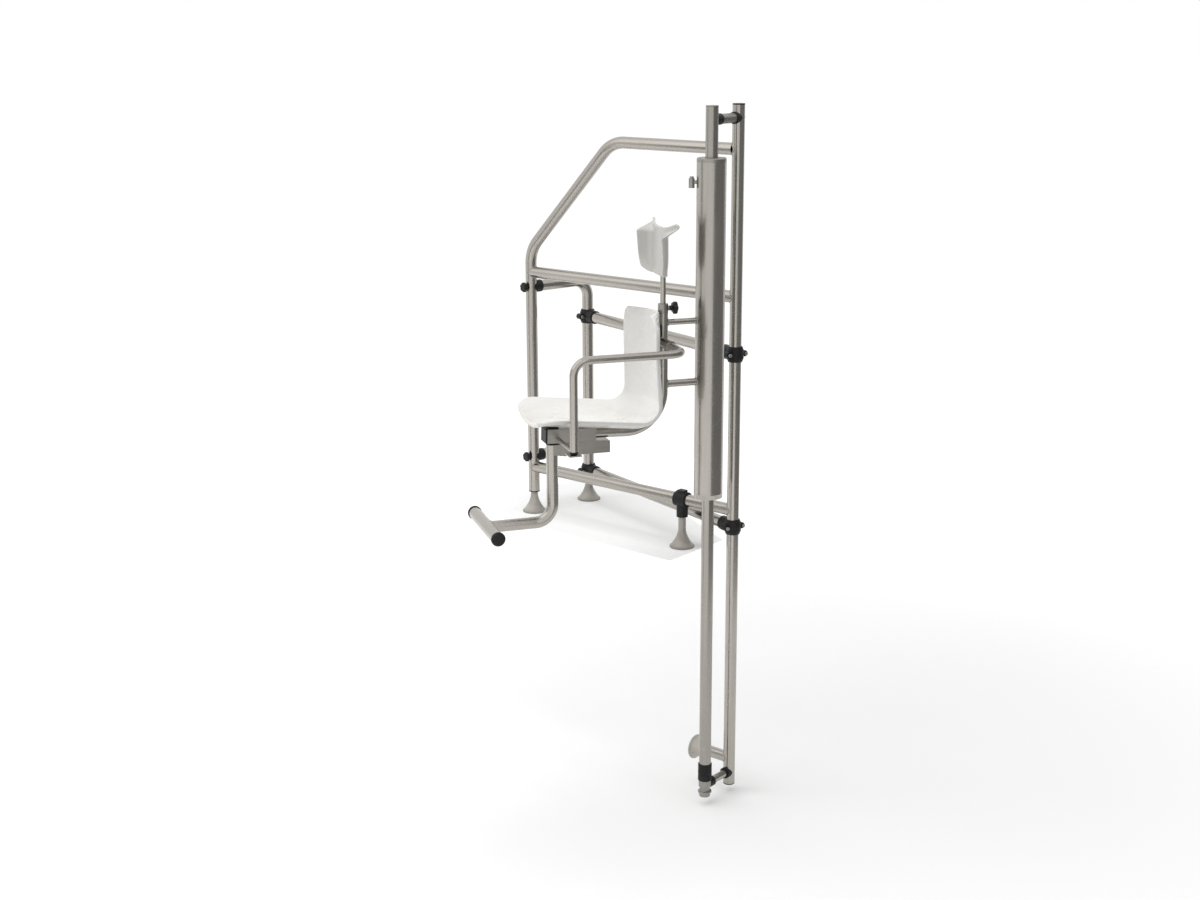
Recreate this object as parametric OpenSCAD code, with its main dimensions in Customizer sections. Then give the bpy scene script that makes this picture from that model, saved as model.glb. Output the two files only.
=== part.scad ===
// Hydraulic pool lift with a swivelling bucket seat on a demountable tubular frame.
// Millimetres, +Z up. The origin is the middle of the front foot's sole, on the deck.
// The guard frame stands in the XZ plane, +X points at the pool, and the mast stands in front of it at -Y.

/* [Frame tube] */
// Outside diameter of the frame tubes, the posts and the mast
tube_d = 43; // [38:1:50]
// Wall of the frame tubes
tube_wall = 2; // [1.5:0.5:4]
// Wall of the mast, which carries the water
mast_wall = 3; // [2:0.5:5]

/* [Guard frame] */
// From the front foot to the rear post and the mast, towards the pool
mast_x = 228; // [180:1:320]
// From the guard frame's plane to the mast's axis
mast_gap = 150; // [130:1:200]
// From the front foot to the left post
left_x = 734; // [600:1:900]
// Height of the top rail above the deck
rail_top_z = 1456; // [1350:1:1500]
// Height of the middle rail
rail_mid_z = 950; // [940:1:1000]
// Height of the lower rail
rail_low_z = 182; // [170:1:190]
// Height where the left post turns into the slope
slope_low_z = 1033; // [1010:1:1100]
// Run of the slope from the left post to the top rail
slope_run = 404; // [300:1:500]
// Bend radius at the two ends of the slope
slope_bend_r = 130; // [100:1:160]
// From the sleeve's top up to the top ends of the mast and the rear post
post_over = 167; // [140:1:200]
// From the mast's lower end down to the lower end of the rear post
post_under = 64; // [40:1:80]

/* [Back leg] */
// From the left post to the back leg, towards the pool
back_dx = 54; // [0:1:120]
// From the guard frame's plane to the back leg
back_y = 266; // [220:1:320]
// Height of the back leg's upper arm
back_top_z = 893; // [870:1:905]
// Height of the strut between the left post and the back leg
strut_z = 226; // [222:1:260]
// Bend radius at the top of the back leg
back_bend_r = 66; // [60:1:90]
// Height of the upper brace from the back leg to the rear post
brace_up_z = 750; // [650:1:780]
// Height of the lower brace
brace_low_z = 122; // [115:1:128]

/* [Feet] */
// Diameter of a foot's sole and of the wall pad's face
foot_d = 92; // [70:1:110]
// Height of the bell of a foot
foot_bell_h = 70; // [50:1:80]
// Diameter of a foot's neck
foot_neck_d = 28; // [22:1:32]
// Height of the lower ends of the legs above the deck
leg_end_z = 86; // [82:1:95]
// Diameter of the wall pad's arm
pad_arm_d = 42; // [30:1:43]
// From the mast's lower end up to the wall pad's arm
pad_over = 34; // [34:1:100]
// From the rear post's axis to the face of the wall pad
pad_reach = 158; // [150:1:220]

/* [Clamps] */
// Radial play of the clamps and bushes on what they hold
clamp_fit = 0.1; // [0.05:0.05:0.3]
// Outside diameter of a clamp's ring
clamp_d = 60; // [56:1:66]
// Height of a clamp
clamp_h = 54; // [50:1:60]
// From a clamp's axis to the middle of each of its ears
ear_off = 34.5; // [34.5:0.5:37]
// Diameter of the ears
ear_d = 22; // [18:1:26]
// Diameter of the clamp bolts
bolt_d = 8; // [6:1:10]
// Diameter of the bolt heads
bolt_head_d = 13; // [11:0.5:13]
// Diameter of the hand knobs on the left post
hand_knob_d = 37; // [32:1:42]
// Height of a hand knob
hand_knob_h = 22; // [16:1:28]
// Length of the saddle between the left post and what it holds
saddle_len = 20; // [18:1:28]

/* [Mast links] */
// From the top ends of the mast and the rear post down to the upper link between them
link_drop = 43; // [40:1:60]
// Diameter of the upper link's tube
link_top_d = 34; // [28:1:36]
// From the mast's lower end down to the lower link
link_under = 19.5; // [19.5:0.5:22]
// Diameter of the lower link's rod
link_low_d = 28; // [22:1:30]
// Diameter of the collars at the links' ends on the mast
link_collar_d = 38; // [38:1:42]

/* [Mast] */
// Diameter of the rubber bump stop
bump_d = 50; // [47:1:56]
// Height of the bump stop
bump_h = 64; // [50:1:70]
// Diameter of the inlet fitting's flange
inlet_flange_d = 50; // [44:1:60]
// Bore of the water inlet
inlet_bore_d = 19; // [12:1:24]

/* [Lift sleeve] */
// Outside diameter of the sleeve
sleeve_d = 100; // [94:1:102]
// Wall of the sleeve
sleeve_wall = 3; // [2:0.5:4]
// Height of the sleeve's lower end when raised
sleeve_low_z = 282; // [275:1:290]
// Length of the sleeve
sleeve_len = 1156; // [1156:1:1180]
// Travel of the sleeve from raised to lowered
travel = 1005; // [900:5:1005]
// Radial play of the parts that slide or turn
run_fit = 0.05; // [0.02:0.01:0.1]
// Thickness of the sleeve's top cap
top_cap_h = 14; // [10:1:18]
// Length of the upper guide bush
bush_up_h = 54; // [40:1:60]
// Length of the lower guide bush inside the sleeve
bush_low_h = 28; // [20:1:30]
// Thickness of the lower guide bush's flange
bush_flange_h = 16; // [10:1:18]
// Length of the fixed piston
piston_h = 35; // [28:1:40]
// Diameter of the water ports above the piston
port_d = 8; // [5:1:10]
// From the sleeve's top down to the bleed valve
bleed_drop = 81; // [50:1:120]

/* [Chair] */
// Direction that the chair faces at rest, in degrees about +Z from +X
chair_angle = 238; // [225:1:250]
// Diameter of the chair's spine tube
spine_d = 35; // [30:1:38]
// Wall of the spine tube
spine_wall = 2.5; // [2:0.5:4]
// From the mast's axis to the upright part of the spine
spine_s = 170; // [160:1:180]
// Height of the spine's top end
spine_top_z = 924; // [900:1:940]
// Height of the spine's lower run at the corner
spine_low_z = 520; // [505:1:530]
// Slope of the spine's lower run, in degrees
run_slope = 2; // [1:0.5:3]
// Bend radius of the spine
spine_bend_r = 130; // [115:1:140]
// Front end of the spine's lower run
spine_end_s = 580; // [560:1:585]
// Diameter of the upper arm between the sleeve and the spine
arm_up_d = 21; // [16:1:24]
// Height of the upper arm
arm_up_z = 892; // [880:1:900]
// Diameter of the lower arm
arm_low_d = 25; // [20:1:28]
// Height of the lower arm
arm_low_z = 680; // [670:1:700]

/* [Seat shell] */
// Half of the seat's width
shell_half_w = 190; // [175:1:195]
// Half of the backrest's width
back_half_w = 172; // [160:1:180]
// Thickness of the shell's wall
shell_wall = 6; // [5:0.5:8]
// Height of the top edge of the backrest
shell_top_z = 936; // [915:1:950]
// Front end of the seat
shell_front_s = 650; // [640:1:665]
// Slope of the seat, in degrees
seat_slope = 6; // [4.5:0.5:6.5]
// How far the seat's edges stand above its middle
shell_dish = 47; // [30:1:50]
// How far the backrest's edges stand forward of its middle
back_dish = 58; // [50:1:68]
// Gap between the spine and the shell, filled by the mounting pads
shell_gap = 5; // [4:0.5:8]
// Corner radius of the shell's outline
shell_corner_r = 70; // [50:1:90]

/* [Headrest] */
// Diameter of the headrest's rod
rod_d = 19; // [16:1:20]
// How far the rod reaches up behind the headrest
rod_reach = 146; // [130:1:155]
// Width of the headrest at its top
rest_w = 250; // [200:1:270]
// From the clamping collar's top up to the headrest's lowest point
rest_over = 95; // [75:1:130]
// Height of the headrest from there to its top edge
rest_h = 176; // [160:1:190]
// How far the headrest's wings reach forward
rest_dish = 42; // [30:1:55]
// Thickness of the headrest's wall
rest_wall = 5; // [4:0.5:6]
// How far the headrest can be raised
rest_up = 100; // [60:5:110]
// Height of the clamping collar on top of the spine
collar_h = 33; // [30:1:40]
// Diameter of the clamping knob
knob_d = 43; // [36:1:48]
// Thickness of the knob's head
knob_h = 18; // [14:1:20]

/* [Armrest] */
// Diameter of the armrest tube
armrest_d = 27; // [24:1:28]
// Wall of the armrest tube
armrest_wall = 2; // [1.5:0.5:3]
// From the chair's middle to the armrest
armrest_w = 216; // [212:1:225]
// Height of the armrest bar and of its pivot
armrest_z = 825; // [800:1:845]
// From the mast's axis to the armrest's front post
armrest_s = 552; // [530:1:570]
// Bend radius of the armrest
armrest_bend_r = 52; // [45:1:60]
// Diameter of the pivot's boss
boss_d = 36; // [34:1:38]
// Length of the pivot's boss from the middle of the spine
boss_len = 84; // [70:1:90]
// Height of the lower end of the armrest's tip
armrest_low_z = 516; // [512:1:520]

/* [Seat socket and footrest] */
// Width of the square socket on the end of the spine
socket_w = 60; // [50:1:66]
// Height of the square socket
socket_h = 48; // [44:1:50]
// Length of the square socket
socket_len = 170; // [140:1:180]
// Width of the footrest's channel
channel_w = 50; // [44:1:56]
// Height of the footrest's channel
channel_h = 42; // [38:1:44]
// Length of the footrest's channel
channel_len = 176; // [165:1:180]
// Wall of the socket, the channel and the slider
box_wall = 3; // [2:0.5:4]
// Play around the footrest's slider
slider_fit = 0.1; // [0.05:0.05:0.3]
// How far the footrest pulls out
footrest_out = 80; // [40:5:90]
// Diameter of the footrest's upright
upright_d = 40; // [36:1:42]
// From the mast's axis to the footrest's upright
upright_s = 565; // [560:1:570]
// Height of the footrest's lower run
foot_run_z = 231; // [225:1:245]
// Bend radius of the footrest's upright
foot_bend_r = 62; // [60:1:75]
// From the mast's axis to the foot bar
foot_bar_s = 798; // [780:1:810]
// Diameter of the foot bar
foot_bar_d = 43; // [38:1:45]
// Half of the foot bar's length
foot_bar_half = 158; // [130:1:170]
// Length of the foot bar's end caps
foot_cap_h = 14; // [10:1:18]

/* [Hidden] */
$fn = 72;

steel = [0.72, 0.71, 0.68];
black = [0.08, 0.08, 0.08];
white = [0.93, 0.92, 0.90];
pale = [0.80, 0.79, 0.74];
bronze = [0.55, 0.50, 0.40];

tube_r = tube_d / 2;
tube_in_r = tube_r - tube_wall;
sleeve_r = sleeve_d / 2;
sleeve_in_r = sleeve_r - sleeve_wall;
sleeve_top_z = sleeve_low_z + sleeve_len;
bleed_z = sleeve_top_z - bleed_drop;
post_top_z = sleeve_top_z + post_over;
link_top_z = post_top_z - link_drop;
spine_r = spine_d / 2;
back_x = back_dx - left_x;
brace_dx = mast_x - back_x;
brace_span = norm([brace_dx, back_y]);
brace_angle = atan2(-back_y, brace_dx);
strut_span = norm([back_dx, back_y]);
strut_angle = atan2(back_y, back_dx);
// A bend's radius is this much more than the tube's, and the straight legs end this far inside it
bend_swell = 0.1;
bend_lap = 2;
// A butt-welded end stops this far from the tube it meets
weld_gap = 0.1;
// The end of a brace or link stops this far outside the post it meets
brace_seat = 3;
clamp_end_r = clamp_d / 2 - 5;
clamp_land = 14;
ear_len = 24;
socket_d = tube_d + 8;
socket_reach = 58;
tee_d = tube_d + 14;
tee_len = 50;
tee_socket_d = foot_neck_d + 14;
tee_low_z = 116;
bolt_play = 0.2;
bolt_head_h = 8;
bolt_r = bolt_d / 2;
foot_sole_h = 6;
insert_h = 36;
insert_lip = 4;
plug_h = 4;
plug_stem_h = 20;
link_collar_len = 22;
// The links end on the rear post in short saddles a little narrower than the post
link_saddle_len = 8;
link_saddle_d = tube_d - 2;
seal_h = 5;
seal_groove = 3;
bush_up_top_z = sleeve_top_z - top_cap_h - 0.3;
bush_up_low_z = bush_up_top_z - bush_up_h;
stop_ring_h = 4;
stop_ring_w = 6;
piston_z = sleeve_low_z + bush_low_h + 12;
piston_r = sleeve_in_r - 0.3;
flange_gap = 0.3;
tip_gap = 0.3;
// When lowered, the lower bush's flange stops this far above the bump stop
bump_clear = 4.7;
mast_depth = travel + bump_h + bump_clear - (sleeve_low_z - flange_gap - bush_flange_h);
post_depth = mast_depth + post_under;
pad_depth = mast_depth - pad_over;
link_low_depth = mast_depth + link_under;

// A point of the chair's middle plane: s forward from the mast, z up
function run_z(s) = spine_low_z + (s - spine_s) * tan(run_slope);

function unit(v) = v / norm(v);
// Distance along a leg that a bend of radius r takes at a corner
function bend_take(a, b, c, r) = r * tan(acos(unit(b - a) * unit(c - b)) / 2);

module at_mast() translate([mast_x, -mast_gap, 0]) children();
module at_chair() at_mast() rotate([0, 0, chair_angle]) children();
module aim(a, b) {
    v = b - a;
    translate(a) rotate([0, acos(v.z / norm(v)), atan2(v.y, v.x)]) children();
}
module pipe(d, wall, h) {
    difference() {
        cylinder(d = d, h = h);
        translate([0, 0, -1]) cylinder(d = d - 2 * wall, h = h + 2);
    }
}
// A solid bend that leaves point a along b - a and turns towards c
module bend(a, b, c, r, d) {
    u = unit(b - a);
    v = unit(c - b);
    turn = acos(u * v);
    n = unit(v - (u * v) * u);
    start = b - bend_take(a, b, c, r) * u;
    centre = start + r * n;
    w = cross(-n, u);
    multmatrix([[-n.x, u.x, w.x, centre.x], [-n.y, u.y, w.y, centre.y], [-n.z, u.z, w.z, centre.z],
        [0, 0, 0, 1]])
        rotate_extrude(angle = turn) translate([r, 0]) circle(r = d / 2 + bend_swell);
}
// A round bar through the points of a path, bent to one radius at each corner, its ends drawn out by extra
module bent_bar(path, r, d, extra) {
    last = len(path) - 1;
    for (i = [0 : last - 1]) {
        dir = unit(path[i + 1] - path[i]);
        take_from = i == 0 ? -extra : bend_take(path[i - 1], path[i], path[i + 1], r) - bend_lap;
        take_to = i == last - 1 ? -extra : bend_take(path[i], path[i + 1], path[i + 2], r) - bend_lap;
        from = path[i] + take_from * dir;
        to = path[i + 1] - take_to * dir;
        aim(from, to) cylinder(d = d, h = norm(to - from));
        if (i < last - 1) bend(path[i], path[i + 1], path[i + 2], r, d);
    }
}
module bent_tube(path, r, d, wall) {
    difference() {
        bent_bar(path, r, d, 0);
        bent_bar(path, r, d - 2 * wall, 1);
    }
}

// Guard frame

module at_left(z) translate([-left_x, 0, z]) children();
module at_rear(z) translate([mast_x, 0, z]) children();
module at_back(z) translate([back_x, back_y, z]) children();

module guard_rail() {
    top_x = slope_run - left_x;
    color(steel) difference() {
        bent_tube([[-left_x, 0, leg_end_z], [-left_x, 0, slope_low_z], [top_x, 0, rail_top_z],
            [mast_x - tube_r + 4, 0, rail_top_z]], slope_bend_r, tube_d, tube_wall);
        for (z = [back_top_z, strut_z]) at_left(z) rotate([0, 0, strut_angle]) rotate([0, 90, 0])
            cylinder(r = bolt_r + bolt_play, h = 2 * tube_d, center = true);
        at_rear(0) cylinder(r = tube_r, h = post_top_z);
    }
}
module plain_rail(z) {
    color(steel) difference() {
        translate([-left_x, 0, z]) rotate([0, 90, 0]) pipe(tube_d, tube_wall, left_x + mast_x);
        at_left(0) cylinder(r = tube_r, h = post_top_z);
        at_rear(0) cylinder(r = tube_r, h = post_top_z);
    }
}
module middle_rail() plain_rail(rail_mid_z);
module lower_rail() plain_rail(rail_low_z);
module rear_post() {
    color(steel) difference() {
        at_rear(-post_depth) pipe(tube_d, tube_wall, post_depth + post_top_z);
        at_rear(link_top_z) rotate([90, 0, 0])
            cylinder(r = bolt_r + bolt_play, h = 2 * tube_d, center = true);
    }
}
module back_leg() {
    reach = tube_r + saddle_len;
    toward = [cos(strut_angle), sin(strut_angle), 0];
    left = [-left_x, 0, back_top_z];
    color(steel) bent_tube([left + reach * toward, [back_x, back_y, back_top_z],
        [back_x, back_y, leg_end_z]],
        back_bend_r, tube_d, tube_wall);
}
module back_strut() {
    reach = tube_r + saddle_len;
    color(steel) difference() {
        at_left(strut_z) rotate([0, 0, strut_angle]) translate([reach, 0, 0]) rotate([0, 90, 0])
            pipe(tube_d, tube_wall, strut_span - reach);
        at_back(0) cylinder(r = tube_r + weld_gap, h = back_top_z - back_bend_r);
    }
}
module brace(z) {
    stop = tube_r + brace_seat;
    color(steel) at_back(z) rotate([0, 0, brace_angle]) translate([stop, 0, 0]) rotate([0, 90, 0])
        pipe(tube_d, tube_wall, brace_span - 2 * stop);
}
module upper_brace() brace(brace_up_z);
module lower_brace() brace(brace_low_z);

// Feet and wall pad

// Outline of a bell from its flat face to its neck, eased by a power curve
function bell_outline(r, neck_r, h, sole_h, steps = 10) = [[0, 0], [r - 2, 0], [r, 2], [r, sole_h],
    for (i = [1 : steps]) let (t = i / steps)
        [neck_r + (r - sole_h / 2 - neck_r) * pow(1 - t, 1.8), sole_h + (h - sole_h) * t]];

module bell(stem_h) {
    rotate_extrude() polygon(concat(bell_outline(foot_d / 2, foot_neck_d / 2, foot_bell_h, foot_sole_h),
        [[foot_neck_d / 2, stem_h], [0, stem_h]]));
}
module left_foot() color(pale) at_left(0) bell(leg_end_z + insert_h);
module back_foot() color(pale) at_back(0) bell(leg_end_z + insert_h);
module front_foot() color(pale) bell(rail_low_z - tube_r - 1);
module foot_insert() {
    difference() {
        union() {
            translate([0, 0, leg_end_z]) cylinder(r = tube_in_r, h = insert_h);
            translate([0, 0, leg_end_z - insert_lip]) cylinder(r = tube_r, h = insert_lip);
        }
        cylinder(r = foot_neck_d / 2, h = leg_end_z + insert_h + 1);
    }
}
module foot_inserts() {
    color(black) {
        at_left(0) foot_insert();
        at_back(0) foot_insert();
    }
}
module wall_pad_arm() {
    color(steel) difference() {
        at_rear(-pad_depth) rotate([0, -90, 0]) pipe(pad_arm_d, tube_wall, pad_reach - foot_bell_h);
        at_rear(-post_depth) cylinder(r = tube_r, h = post_depth);
    }
}
module wall_pad() {
    arm_in_r = pad_arm_d / 2 - tube_wall;
    color(pale) at_rear(-pad_depth) translate([-pad_reach, 0, 0]) rotate([0, 90, 0]) rotate_extrude()
        polygon(concat(bell_outline(foot_d / 2, pad_arm_d / 2, foot_bell_h, foot_sole_h),
            [[arm_in_r, foot_bell_h], [arm_in_r, foot_bell_h + insert_h], [0, foot_bell_h + insert_h]]));
}

// Clamps

module clamp_ring(h) {
    r = clamp_d / 2;
    rotate_extrude() polygon([[0, -h / 2], [clamp_end_r, -h / 2], [r, -clamp_land], [r, clamp_land],
        [clamp_end_r, h / 2], [0, h / 2]]);
}
// The ears stand on both sides of the clamp, square to its brace, and their bolts run along the brace
module at_ears() {
    for (side = [-1, 1]) translate([0, side * ear_off, 0]) rotate([0, 90, 0]) children();
}
// A split clamp on an upright tube with a socket for a brace at the given angle
module post_clamp(angle) {
    color(black) rotate([0, 0, angle]) difference() {
        union() {
            clamp_ring(clamp_h);
            at_ears() cylinder(d = ear_d, h = ear_len, center = true);
            rotate([0, 90, 0]) cylinder(d = socket_d, h = socket_reach);
        }
        cylinder(r = tube_r + clamp_fit, h = 2 * clamp_h, center = true);
        translate([tube_r + brace_seat - 0.5, 0, 0]) rotate([0, 90, 0])
            cylinder(r = tube_r + clamp_fit, h = socket_reach);
        at_ears() cylinder(r = bolt_r + bolt_play, h = 2 * ear_len, center = true);
    }
}
module back_clamp_upper() at_back(brace_up_z) post_clamp(brace_angle);
module back_clamp_lower() at_back(brace_low_z) post_clamp(brace_angle);
module rear_clamp_upper() at_rear(brace_up_z) post_clamp(brace_angle + 180);
module rear_clamp_lower() at_rear(brace_low_z) post_clamp(brace_angle + 180);
module front_tee_clamp() {
    color(black) translate([0, 0, rail_low_z]) difference() {
        union() {
            rotate([0, 90, 0]) cylinder(d = tee_d, h = tee_len, center = true);
            translate([0, 0, tee_low_z - rail_low_z])
                cylinder(d = tee_socket_d, h = rail_low_z - tee_low_z);
            translate([0, 0, tee_d / 2]) cube([tee_len * 0.6, ear_len, 12], center = true);
        }
        rotate([0, 90, 0]) cylinder(r = tube_r + clamp_fit, h = 2 * tee_len, center = true);
        translate([0, 0, tee_low_z - rail_low_z - 1])
            cylinder(r = foot_neck_d / 2 + clamp_fit, h = rail_low_z - tee_low_z);
    }
}
// A plug that seats on the side of an upright tube at x = 0 and enters a tube's end
module saddle(d, length, spigot_d, spigot_len) {
    difference() {
        union() {
            rotate([0, 90, 0]) cylinder(d = d, h = tube_r + length);
            translate([tube_r + length, 0, 0]) rotate([0, 90, 0]) cylinder(d = spigot_d, h = spigot_len);
        }
        cylinder(r = tube_r + clamp_fit, h = 2 * d, center = true);
        rotate([0, 90, 0]) cylinder(r = bolt_r, h = tube_r + length + spigot_len - 4);
    }
}
module left_saddles() {
    color(black) for (z = [back_top_z, strut_z]) at_left(z) rotate([0, 0, strut_angle])
        saddle(tube_d + 4, saddle_len, 2 * tube_in_r, plug_stem_h);
}
module hand_knob() {
    grips = 6;
    rotate([0, 90, 0]) difference() {
        union() {
            cylinder(d = bolt_head_d + 6, h = 6);
            translate([0, 0, 6]) cylinder(d = hand_knob_d, h = hand_knob_h - 6);
        }
        for (i = [0 : grips - 1]) rotate([0, 0, 360 * i / grips]) translate([hand_knob_d / 2 + 3, 0, 5])
            cylinder(d = 12, h = hand_knob_h);
        translate([0, 0, -1]) cylinder(r = bolt_r, h = hand_knob_h - 4);
    }
}
module left_hand_knobs() {
    color(black) for (z = [back_top_z, strut_z]) at_left(z) rotate([0, 0, strut_angle + 180])
        translate([tube_r, 0, 0]) hand_knob();
}
module clamp_bolt_pair() {
    nut_h = 6;
    rotate([0, 0, brace_angle]) at_ears() {
        cylinder(r = bolt_r, h = ear_len + 2 * nut_h + 2, center = true);
        translate([0, 0, ear_len / 2]) cylinder(d = bolt_head_d, h = bolt_head_h);
        translate([0, 0, -ear_len / 2 - nut_h]) cylinder(d = bolt_head_d, h = nut_h, $fn = 6);
    }
}
module clamp_bolts() {
    stud_in = tube_r + saddle_len + plug_stem_h - 4;
    stud_out = tube_r + hand_knob_h - 5;
    link_stud = 2 * tube_r + link_saddle_len + plug_stem_h / 2;
    color(steel) {
        for (z = [brace_up_z, brace_low_z]) {
            at_back(z) clamp_bolt_pair();
            at_rear(z) clamp_bolt_pair();
        }
        for (z = [back_top_z, strut_z]) at_left(z) rotate([0, 0, strut_angle]) translate([-stud_out, 0, 0])
            rotate([0, 90, 0]) cylinder(r = bolt_r, h = stud_out + stud_in);
        at_rear(link_top_z) rotate([90, 0, 0]) {
            translate([0, 0, -tube_r - 2]) cylinder(r = bolt_r, h = link_stud);
            translate([0, 0, -tube_r - bolt_head_h]) cylinder(d = bolt_head_d, h = bolt_head_h);
        }
    }
}

// Links between the mast and the rear post

inlet_nut_r = tube_r + 1;
link_gap = mast_gap - 2 * tube_r;
module upper_link() {
    collars = link_collar_len + link_saddle_len;
    color(steel) at_mast() translate([0, tube_r + link_collar_len, link_top_z]) rotate([-90, 0, 0])
        pipe(link_top_d, tube_wall, link_gap - collars);
}
module upper_link_collars() {
    spigot_d = link_top_d - 2 * tube_wall;
    color(black) {
        at_mast() translate([0, 0, link_top_z]) rotate([0, 0, 90])
            saddle(link_collar_d, link_collar_len, spigot_d, plug_h);
        at_rear(link_top_z) rotate([0, 0, -90]) saddle(link_saddle_d, link_saddle_len, spigot_d, plug_stem_h);
    }
}
// The lower link's ends sit this far from the axes of the mast and the post
link_seat = tube_r + 4;
module lower_link() {
    color(steel) at_mast() translate([0, link_seat, -link_low_depth]) rotate([-90, 0, 0])
        cylinder(d = link_low_d, h = mast_gap - 2 * link_seat);
}
module link_cup(post_r, cup_d, length) {
    difference() {
        rotate([0, 90, 0]) cylinder(d = cup_d, h = tube_r + length);
        cylinder(r = post_r, h = 2 * cup_d, center = true);
        translate([link_seat, 0, 0]) rotate([0, 90, 0]) cylinder(d = link_low_d, h = tube_r + length);
    }
}
module lower_link_collars() {
    color(black) {
        at_mast() translate([0, 0, -link_low_depth]) rotate([0, 0, 90])
            link_cup(inlet_nut_r, link_collar_d, link_collar_len);
        at_rear(-link_low_depth) rotate([0, 0, -90]) link_cup(tube_r, link_saddle_d, link_saddle_len);
    }
}
module plug(r_in) {
    cylinder(r = tube_r, h = plug_h);
    translate([0, 0, -plug_stem_h]) cylinder(r = r_in, h = plug_stem_h);
}
module post_plugs() {
    color(black) {
        at_rear(post_top_z) plug(tube_in_r);
        at_rear(-post_depth) rotate([180, 0, 0]) plug(tube_in_r);
    }
}

// Mast: a fixed hollow rod that carries the piston

module mast() {
    color(steel) at_mast() difference() {
        translate([0, 0, -mast_depth]) pipe(tube_d, mast_wall, mast_depth + post_top_z);
        for (turn = [0, 90]) rotate([0, 0, turn]) translate([0, 0, piston_z + piston_h + port_d / 2 + 1])
            rotate([90, 0, 0]) cylinder(d = port_d, h = 2 * tube_d, center = true);
    }
}
module mast_cap() color(steel) at_mast() translate([0, 0, post_top_z]) plug(tube_r - mast_wall);
module seal_band(r_out, r_in, h) {
    difference() {
        cylinder(r = r_out, h = h);
        translate([0, 0, -1]) cylinder(r = r_in, h = h + 2);
    }
}
seal_zs = [7, piston_h - 7 - seal_h];
module piston() {
    color(bronze) at_mast() translate([0, 0, piston_z]) difference() {
        cylinder(r = piston_r, h = piston_h);
        translate([0, 0, -1]) cylinder(r = tube_r, h = piston_h + 2);
        for (z = seal_zs) translate([0, 0, z]) seal_band(piston_r + 1, piston_r - seal_groove, seal_h);
    }
}
module piston_seals() {
    color(black) at_mast() for (z = seal_zs) translate([0, 0, piston_z + z])
        seal_band(sleeve_in_r - run_fit, piston_r - seal_groove, seal_h);
}
module bump_stop() {
    color(black) at_mast() translate([0, 0, -mast_depth]) seal_band(bump_d / 2, tube_r, bump_h);
}
module water_inlet() {
    // Heights of the nut, the neck, the flange and the spigot, from the mast's end down
    nut_h = 26;
    neck_h = 16;
    flange_h = 8;
    spigot_h = 14;
    flange_z = nut_h + neck_h + flange_h;
    color(steel) at_mast() translate([0, 0, -mast_depth]) difference() {
        union() {
            translate([0, 0, -nut_h]) cylinder(r = inlet_nut_r, h = nut_h);
            cylinder(r = tube_r - mast_wall, h = plug_stem_h);
            translate([0, 0, -nut_h - neck_h]) cylinder(d = tube_d - 6, h = neck_h);
            translate([0, 0, -flange_z]) cylinder(d = inlet_flange_d, h = flange_h);
            translate([0, 0, -flange_z - spigot_h]) cylinder(d = tube_d - 3, h = spigot_h);
        }
        translate([0, 0, -flange_z - spigot_h - 1])
            cylinder(d = inlet_bore_d, h = flange_z + spigot_h + plug_stem_h + 2);
    }
}

// Guide bushes: they slide on the mast, and the sleeve turns on them

module upper_guide_bush() {
    color(white) at_mast() translate([0, 0, bush_up_low_z]) difference() {
        seal_band(sleeve_in_r - run_fit, tube_r + run_fit, bush_up_h);
        translate([0, 0, 8]) seal_band(tube_r + seal_groove, tube_r, seal_h);
    }
}
module lower_guide_bush() {
    color(white) at_mast() difference() {
        union() {
            translate([0, 0, sleeve_low_z - flange_gap - bush_flange_h])
                cylinder(r = sleeve_r, h = bush_flange_h);
            translate([0, 0, sleeve_low_z - flange_gap - 1])
                cylinder(r = sleeve_in_r - run_fit, h = bush_low_h + 1);
        }
        cylinder(r = tube_r + run_fit, h = 2 * sleeve_low_z);
        translate([0, 0, sleeve_low_z]) seal_band(tube_r + seal_groove, tube_r, seal_h);
    }
}
module rod_seals() {
    color(black) at_mast() {
        translate([0, 0, bush_up_low_z + 8]) seal_band(tube_r + seal_groove, tube_r + run_fit, seal_h);
        translate([0, 0, sleeve_low_z]) seal_band(tube_r + seal_groove, tube_r + run_fit, seal_h);
    }
}

// Sleeve and what is welded to it

module sleeve() {
    color(steel) at_mast() translate([0, 0, sleeve_low_z])
        pipe(sleeve_d, sleeve_wall, sleeve_len - top_cap_h);
}
module sleeve_cap() {
    chamfer = 3;
    color(steel) at_mast() translate([0, 0, sleeve_top_z - top_cap_h]) rotate_extrude()
        polygon([[tube_r + 1, 0], [sleeve_r, 0], [sleeve_r, top_cap_h - chamfer],
            [sleeve_r - chamfer, top_cap_h],
            [tube_r + 1, top_cap_h]]);
}
module bush_stop_ring() {
    color(steel) at_mast() translate([0, 0, bush_up_low_z - flange_gap - stop_ring_h])
        seal_band(sleeve_in_r, sleeve_in_r - stop_ring_w, stop_ring_h);
}
module bleed_valve() {
    reach = 16;
    body_d = 20;
    body_h = 38;
    color(steel) at_chair() rotate([0, 0, -18]) difference() {
        union() {
            translate([sleeve_r - 1, 0, bleed_z]) rotate([0, 90, 0]) cylinder(d = 12, h = reach);
            translate([sleeve_r + reach, 0, bleed_z - body_h / 2]) cylinder(d = body_d, h = body_h - 6);
            translate([sleeve_r + reach, 0, bleed_z + body_h / 2 - 6]) cylinder(d = body_d - 6, h = 6);
        }
        translate([0, 0, bleed_z]) cylinder(r = sleeve_r, h = 4 * body_h, center = true);
    }
}
module arm(z, d) {
    color(steel) at_chair() difference() {
        translate([0, 0, z]) rotate([0, 90, 0]) cylinder(d = d, h = spine_s);
        cylinder(r = sleeve_r, h = sleeve_top_z);
        translate([spine_s, 0, 0]) cylinder(r = spine_r, h = spine_top_z);
    }
}
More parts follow.
